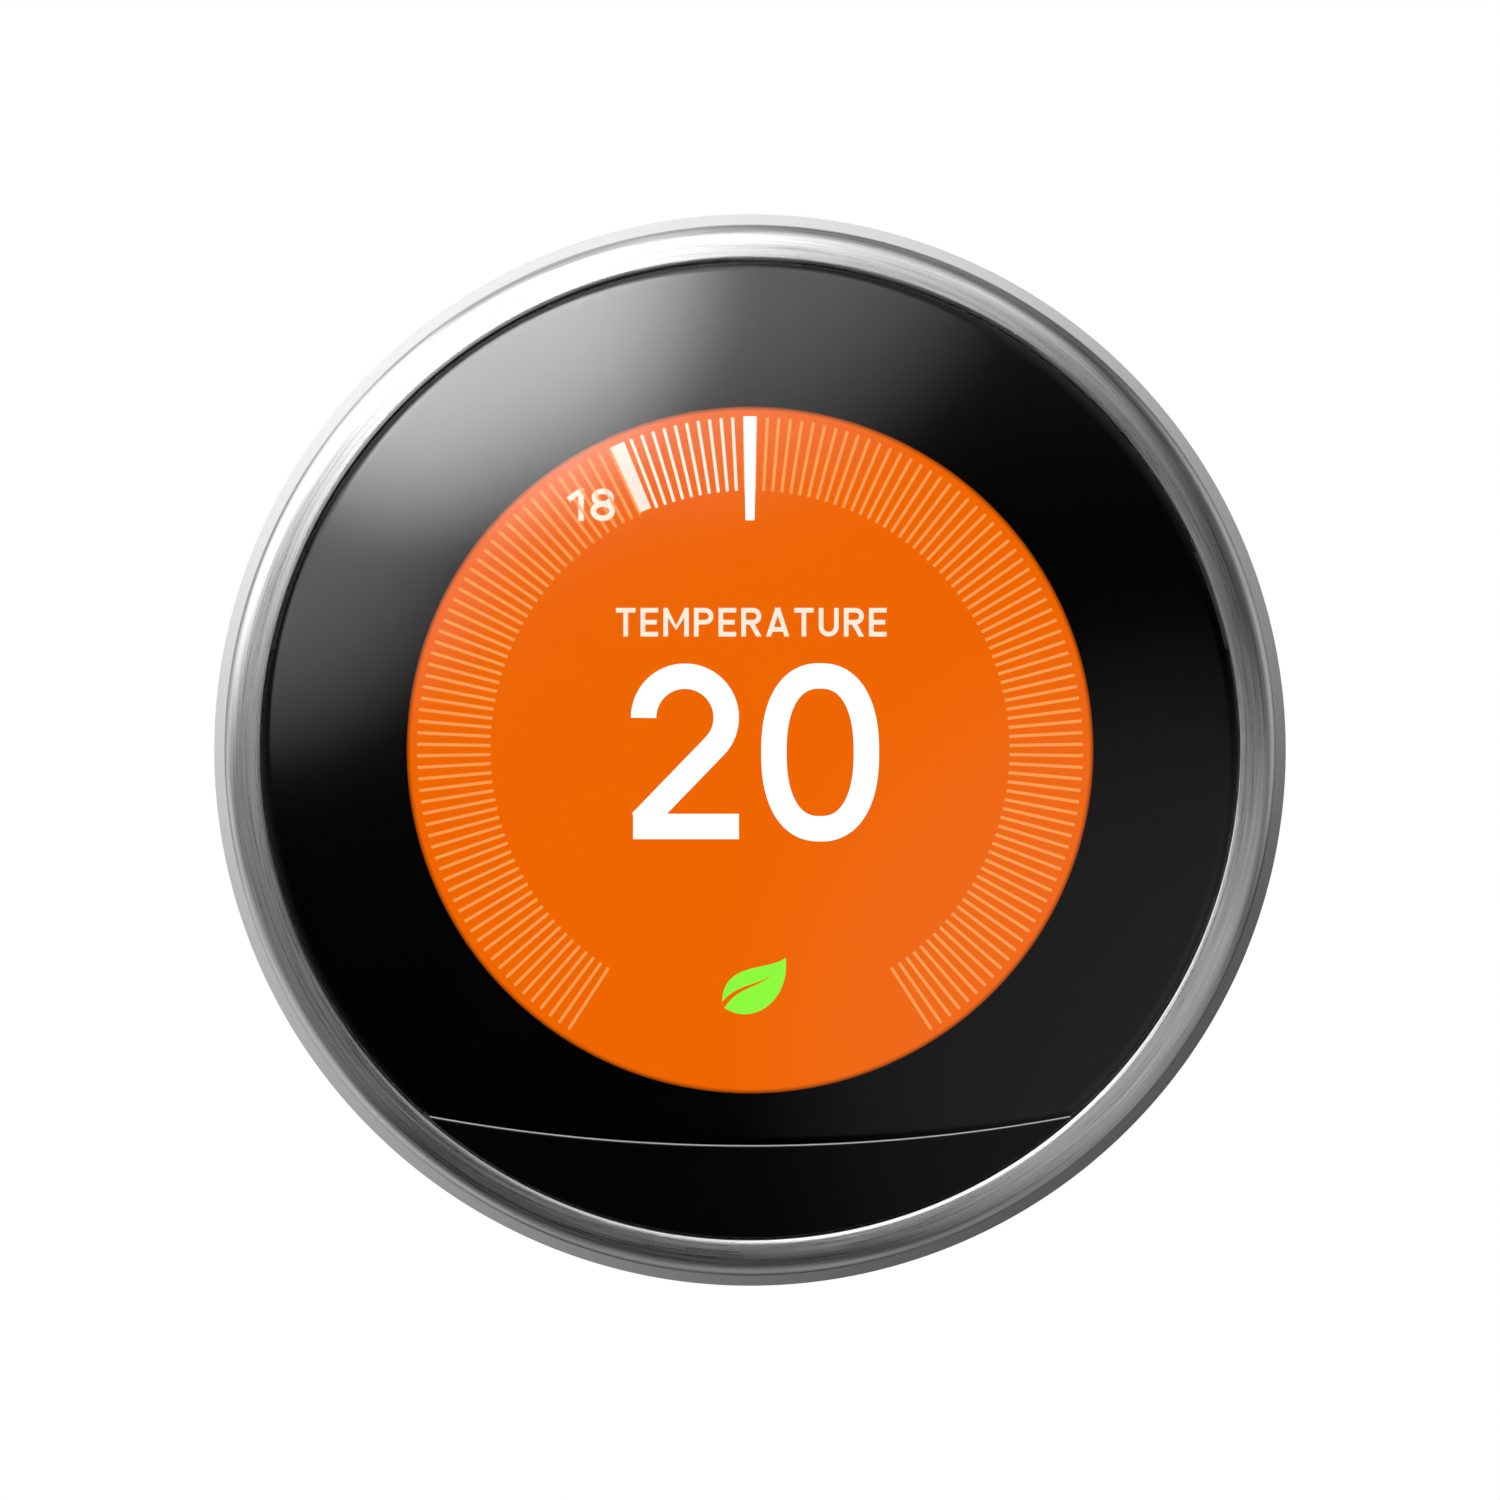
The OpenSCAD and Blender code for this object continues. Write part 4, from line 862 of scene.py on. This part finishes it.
def foamTape():
    # Closed-cell acrylic foam: small round cells, dull and black
    material, add, place = newMaterial("acrylicFoamTape")
    cells = add("TexVoronoi", {"Scale": 1 / (foam["cell"] * mm), "Vector": place})
    middle = (cells, "Distance")
    finishSurface(add, {"Roughness": 0.85}, (foam["dark"], foam["light"], middle),
                  (middle, 1.0, foam["relief"]))
    return material


guide = {"clear": "#DDE4E6", "dots": "#FBFBFB", "pitch": 0.7, "dot": 0.28, "rough": (0.08, 0.7)}


def lightGuideAcrylic():
    # Clear cast acrylic with rows of printed white dots that send the light forwards
    material, add, place = newMaterial("dottedAcrylicGuide")
    rows = 1 / (guide["pitch"] * mm)
    flat = add("Mapping", {"Scale": (rows, 0, rows), "Vector": place})
    dots = add("TexVoronoi", {"Scale": 1.0, "Randomness": 0.0, "Vector": flat})
    dot = add("Math", {1: guide["dot"], 0: (dots, "Distance")}, operation="LESS_THAN")
    low, high = guide["rough"]
    rough = add("MapRange", {"To Min": low, "To Max": high, "Value": dot})
    finishSurface(add, {"IOR": 1.49, "Transmission Weight": 0.5, "Roughness": rough},
                  (guide["clear"], guide["dots"], dot))
    return material


foil = {"dark": "#A9ABAE", "light": "#C8CACC", "dent": 5, "grain": 0.15, "relief": 0.12}


def pouchFoil():
    # Aluminium laminate of a pouch cell: matt silver, dented a little by what it holds
    material, add, place = newMaterial("laminatedPouchFoil")
    dents = add("TexNoise", {"Scale": 1 / (foil["dent"] * mm), "Detail": 3.0, "Distortion": 1.0,
                             "Vector": place})
    fine = add("TexNoise", {"Scale": 1 / (foil["grain"] * mm), "Vector": place})
    height = add("Math", {1: 0.04, 0: fine, 2: dents}, operation="MULTIPLY_ADD")
    finishSurface(add, {"Metallic": 0.9, "Roughness": 0.42}, (foil["dark"], foil["light"], dents),
                  (height, 1.0, foil["relief"]))
    return material


lead = {"dark": "#A81810", "light": "#C42A1E", "nylon": "#E9E4D4", "plugTop": 0.6, "wax": 0.4,
        "relief": 0.01}


def siliconeLead():
    # Red silicone insulation, waxy and soft, ending in a natural nylon plug below plugTop
    material, add, place = newMaterial("siliconeLeadAndNylonPlug")
    axes = add("SeparateXYZ", {"Vector": place})
    plug = add("Math", {1: lead["plugTop"] * mm, 0: (axes, "Z")}, operation="LESS_THAN")
    wax = add("TexNoise", {"Scale": 1 / (lead["wax"] * mm), "Vector": place})
    red = add("Mix", {6: linear(lead["dark"]), 7: linear(lead["light"]), "Factor": wax}, data_type="RGBA")
    tone = add("Mix", {7: linear(lead["nylon"]), "Factor": plug, 6: (red, 2)}, data_type="RGBA")
    finishSurface(add, {"Roughness": 0.45, "Base Color": (tone, 2)}, relief=(wax, 0.6, lead["relief"]))
    return material


def clearMoulding(name, look):
    # Clear acrylic or the tinted spirit that it holds: what is behind shows through, a little
    # uneven in tint and in its surface
    material, add, place = newMaterial(name)
    swirl = add("TexNoise", {"Scale": 1 / (1.5 * mm), "Distortion": 1.0, "Vector": place})
    finishSurface(add, {"IOR": look["ior"], "Roughness": look["rough"],
                        "Transmission Weight": look["clear"]}, (look["dark"], look["light"], swirl),
                  (swirl, 0.3, 0.01))
    return material


def paint(material, *names):
    # Every slot of these CAD nodes takes the material
    for name in names:
        slots = nodes[name].data.materials
        slots.clear()
        slots.append(material)


# The edge colour is painted shade at the picture's rim, where the lens's edge shades it
picture = {"radius": 26.5, "rimShadeWidth": 0.5, "colour": "#EF6500", "hazed": "#F06700", "edge": "#5A2600",
           "glow": 1.075}
paint(litGlass(picture), "display_panel")

tabs = ["release_tab_%02d" % i for i in range(1, 11)]

# Mouldings: grain is the size of the tool's texture in mm, and relief its depth. The glue wets
# the mask's ink, so its own gloss is gone: its index is near 1.
mouldings = {
    "screenPrintedBlackInk": (
        {"light": "#050505", "dark": "#030303", "grain": 0.3, "relief": 0.001, "rough": 0.9, "ior": 1.05},
        ["lens_mask"]),
    "whitePolycarbonateAbs": (
        {"light": "#F2F2F0", "dark": "#E9E9E6", "grain": 0.28, "relief": 0.012, "rough": 0.5},
        ["base_plate"]),
    "satinWhiteAbs": (
        {"light": "#F3F3F0", "dark": "#E9E9E6", "grain": 0.2, "relief": 0.006, "rough": 0.42},
        ["terminal_deck"]),
    "greyPolyesterBlock": (
        {"light": "#A4A6A8", "dark": "#909294", "grain": 0.16, "relief": 0.006, "rough": 0.4},
        ["terminal_block_left", "terminal_block_right"]),
    "paleAcetalTab": (
        {"light": "#DCDDDE", "dark": "#CBCDCE", "grain": 0.14, "relief": 0.004, "flow": 3, "rough": 0.34},
        tabs),
    "blackGlassFilledNylon": (
        {"light": "#1E1E20", "dark": "#101011", "grain": 0.12, "relief": 0.008, "flow": 4, "rough": 0.46},
        ["head_frame", "base_socket", "base_plug", "buzzer", "click_switch", "ring_sensor"]),
    "greySparkedCover": (
        {"light": "#54565A", "dark": "#484A4E", "grain": 0.26, "relief": 0.012, "rough": 0.5},
        ["back_cover"]),
    "naturalAcetalPlunger": (
        {"light": "#EFE9D6", "dark": "#E2DAC2", "grain": 0.15, "relief": 0.003, "rough": 0.33},
        ["click_plunger"]),
    "whiteAcetalCarrier": (
        {"light": "#F0F0EC", "dark": "#E2E2DD", "grain": 0.18, "relief": 0.004, "rough": 0.36},
        ["ring_carrier"]),
    "slickFluoropolymerPad": (
        {"light": "#F6F5F1", "dark": "#ECEAE4", "grain": 0.3, "relief": 0.003, "flow": 2, "rough": 0.28,
         "ior": 1.38}, ["ring_bearing_pads"]),
    "milkyPolyethyleneLens": (
        {"light": "#F4F5F4", "dark": "#E6E8E6", "grain": 0.4, "relief": 0.004, "flow": 2, "rough": 0.38},
        ["motion_lens"]),
    "mouldedBlackEpoxy": (
        {"light": "#232324", "dark": "#161617", "grain": 0.08, "relief": 0.006, "flow": 2, "rough": 0.55},
        ["board_chips", "base_relays", "light_sensor", "proximity_sensor"]),
    "firedCeramic": (
        {"light": "#E6E2D8", "dark": "#D6D1C5", "grain": 0.06, "relief": 0.003, "flow": 1.5, "rough": 0.4,
         "ior": 1.76}, ["antenna", "humidity_sensor"]),
}

# Metals: grain is the size of the working marks along x, y and z in mm
metals = {
    "zincPlatedSteel": (
        {"light": "#C9CDD2", "dark": "#9EA3AA", "grain": (0.15, 0.15, 0.15), "relief": 0.006,
         "rough": 0.32}, ["deck_screws", "shoulder_screws", "board_screws"]),
    "brightTinPlate": (
        {"light": "#DCDCDA", "dark": "#BDBDBB", "grain": (4, 0.12, 0.12), "relief": 0.003, "rough": 0.26},
        ["shield_can", "usb_port", "backlight_tray"]),
    "rolledSpringSteel": (
        {"light": "#CFD0D3", "dark": "#A9AAAE", "grain": (2.5, 0.1, 2.5), "relief": 0.003, "rough": 0.24},
        ["grip_springs"]),
    "goldFlashedBrass": (
        {"light": "#E8C877", "dark": "#C9A14C", "grain": (0.2, 1.5, 0.2), "relief": 0.002, "rough": 0.22},
        ["socket_pins", "plug_contacts"]),
    "rolledPhosphorBronze": (
        {"light": "#D7A36B", "dark": "#AE7440", "grain": (3, 0.12, 0.12), "relief": 0.004, "rough": 0.3},
        ["terminal_clamps"]),
    "nickelPlatedCan": (
        {"light": "#CEC9BC", "dark": "#A9A497", "grain": (0.3, 2, 0.3), "relief": 0.003, "rough": 0.25},
        ["motion_sensor"]),
}
for finish, table in ((mouldedPlastic, mouldings), (workedMetal, metals)):
    for name, (look, painted) in table.items():
        paint(finish(name, look), *painted)

paint(circuitBoard("greenBaseBoard", {"mask": "#0C4A2B", "overCopper": "#1B6B3E", "zone": 4.5,
                                      "pitch": 0.8, "pads": 2.1}), "base_board", "plug_board")
paint(circuitBoard("blackMainBoard", {"mask": "#12181C", "overCopper": "#242D33", "zone": 3.2,
                                      "pitch": 0.4, "pads": 1.5}), "main_board")
paint(flexCircuit(), "display_flex", "plug_flex")
paint(foamTape(), "lens_adhesive")
paint(lightGuideAcrylic(), "light_guide")
paint(pouchFoil(), "battery")
paint(siliconeLead(), "battery_lead")
clears = {
    "clearAcrylicVial": (
        {"light": "#FFFFFF", "dark": "#F4F8F6", "ior": 1.49, "rough": 0.02, "clear": 1.0}, "level_vial"),
    "frostedAcrylicCap": (
        {"light": "#FFFFFF", "dark": "#EDF1EF", "ior": 1.49, "rough": 0.3, "clear": 0.7}, "level_cap"),
    "tintedSpirit": (
        {"light": "#D9F24A", "dark": "#C4E636", "ior": 1.36, "rough": 0.0, "clear": 0.95}, "level_fluid"),
}
for name, (look, painted) in clears.items():
    paint(clearMoulding(name, look), painted)
print("CAD nodes painted")


# Springs, ribbon, level lines and terminal numbers

screwHead = 2.6 * mm
posts = {"count": 3, "circle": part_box("shoulder_screws")[1].z - screwHead}
spring = {"wire": 0.22, "radius": 2.3, "turns": 6.5, "dead": 1.0, "steps": 40, "sides": 12}


def coilSpring(angle, back, front):
    # A helix whose pitch closes to one wire's width over the dead turns at both ends: height
    # goes with the smoothed share of turns between them
    turns = np.linspace(0, spring["turns"], int(spring["turns"] * spring["steps"]) + 1)
    share = np.clip((turns - spring["dead"]) / (spring["turns"] - 2 * spring["dead"]), 0, 1)
    wire = spring["wire"] * mm
    closed = (np.minimum(turns, spring["dead"])
              + np.maximum(turns - spring["turns"] + spring["dead"], 0)) * 2 * wire
    room = front - back - 2 * wire - 4 * wire * spring["dead"]
    height = back + wire + closed + room * share
    around = 2 * math.pi * turns
    outward = np.stack([np.sin(around), np.zeros(len(turns)), np.cos(around)], -1)
    centre = posts["circle"] * np.array([math.sin(angle), 0, math.cos(angle)])
    path = centre + spring["radius"] * mm * outward - height[:, None] * np.array([0, 1, 0])
    return tube(path, outward, wire, spring["sides"])


springBack, springFront = -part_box("return_springs")[1].y, -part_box("return_springs")[0].y
drawnWire = workedMetal("drawnMusicWire", {"light": "#C4C5C8", "dark": "#9C9DA1",
                                           "grain": (0.1, 0.1, 0.1), "relief": 0.003, "rough": 0.26})
coils = [coilSpring(2 * math.pi * i / posts["count"], springBack, springFront)
         for i in range(posts["count"])]
springs = makePiece("coilSprings", coils, drawnWire, "back_module", 60)
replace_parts(springs, "return_springs")
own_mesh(springs)

ribbon = {"thickness": 0.2, "steps": 60}


def ribbonStrip():
    # An S between the two boards, of half a cosine wave, given its thickness square to itself
    low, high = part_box("plug_flex")
    half = ribbon["thickness"] * mm / 2
    s = np.linspace(0, 1, ribbon["steps"] + 1)
    z = low.z + half + (high.z - low.z - 2 * half) * (1 - np.cos(math.pi * s)) / 2
    y = high.y - half + (low.y - high.y + 2 * half) * s
    along = directions(np.stack([z, y], -1))
    section = [(low.x, 1), (low.x, -1), (high.x, -1), (high.x, 1)]
    points = np.stack([np.stack([np.full(len(s), x), y + side * half * along[:, 0],
                                 z - side * half * along[:, 1]], -1) for x, side in section], 1)
    last = 4 * ribbon["steps"]
    ends = np.array([[3, 2, 1, 0], [last, last + 1, last + 2, last + 3]])
    return points, [gridFaces(len(s), 4, False, True)[:, ::-1], ends]


film = nodes["plug_flex"].data.materials[0]
flex = makePiece("boardRibbon", [ribbonStrip()], film, "back_module")
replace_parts(flex, "plug_flex")
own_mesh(flex)

level = {"apart": 4.6, "wire": 0.09, "segments": 64, "sides": 8}


def levelLine(x):
    # A hoop round the vial, which the bubble is read against
    low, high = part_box("level_vial")
    radius = (high.z - low.z) / 2
    angle = np.linspace(0, 2 * math.pi, level["segments"], endpoint=False)
    outward = np.stack([0 * angle, np.cos(angle), np.sin(angle)], -1)
    centre = np.array([x * mm, (low.y + high.y) / 2, (low.z + high.z) / 2])
    return tube(centre + radius * outward, outward, level["wire"] * mm, level["sides"], True)


# Painted highlight: the bead along the seam is pale so that it shows as the seam's bright line of caught
# light
seamHighlightPaint = mouldedPlastic("paintedSeamHighlight", {"light": "#D8D8D8", "dark": "#C8C8C8", "grain": 0.1,
                                                 "relief": 0.002, "rough": 0.4, "ior": 1.41})
makePiece("seamSeal", [seamSeal()], seamHighlightPaint, "head")
blackInk = mouldedPlastic("padPrintedBlackInk", {"light": "#141414", "dark": "#0C0C0C", "grain": 0.1,
                                                 "relief": 0.002, "rough": 0.5})
makePiece("levelLines", [levelLine(-level["apart"] / 2), levelLine(level["apart"] / 2)], blackInk, "base",
          60)

numbering = {"x": 23.1, "height": 1.7, "width": 1.0, "weight": 0.24, "gap": 0.25, "thick": 0.05,
             "sunk": 0.03}


def terminalNumbers():
    # One number beside each release tab, counted down the left side and then the right
    deck = face["deckFront"] / mm
    made = []
    for number, tab in enumerate(tabs, 1):
        low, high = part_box(tab)
        digits = [int(c) for c in str(number)]
        step = numbering["width"] + numbering["gap"]
        x = math.copysign(numbering["x"], low.x) - (len(digits) * step - numbering["gap"]) / 2
        y = (low.z + high.z) / 2 / mm - numbering["height"] / 2
        for n, digit in enumerate(digits):
            strokes = figures[digit](numbering["width"], numbering["height"], numbering["weight"])
            made += placed(strokes, x + n * step, y, numbering["weight"], deck - numbering["sunk"],
                           deck + numbering["thick"])
    return made


greyInk = mouldedPlastic("padPrintedGreyInk", {"light": "#5C5E61", "dark": "#505255", "grain": 0.1,
                                               "relief": 0.002, "rough": 0.6})
makePiece("terminalNumbers", terminalNumbers(), greyInk, "base")
print("springs, ribbon, level lines and numbers made")
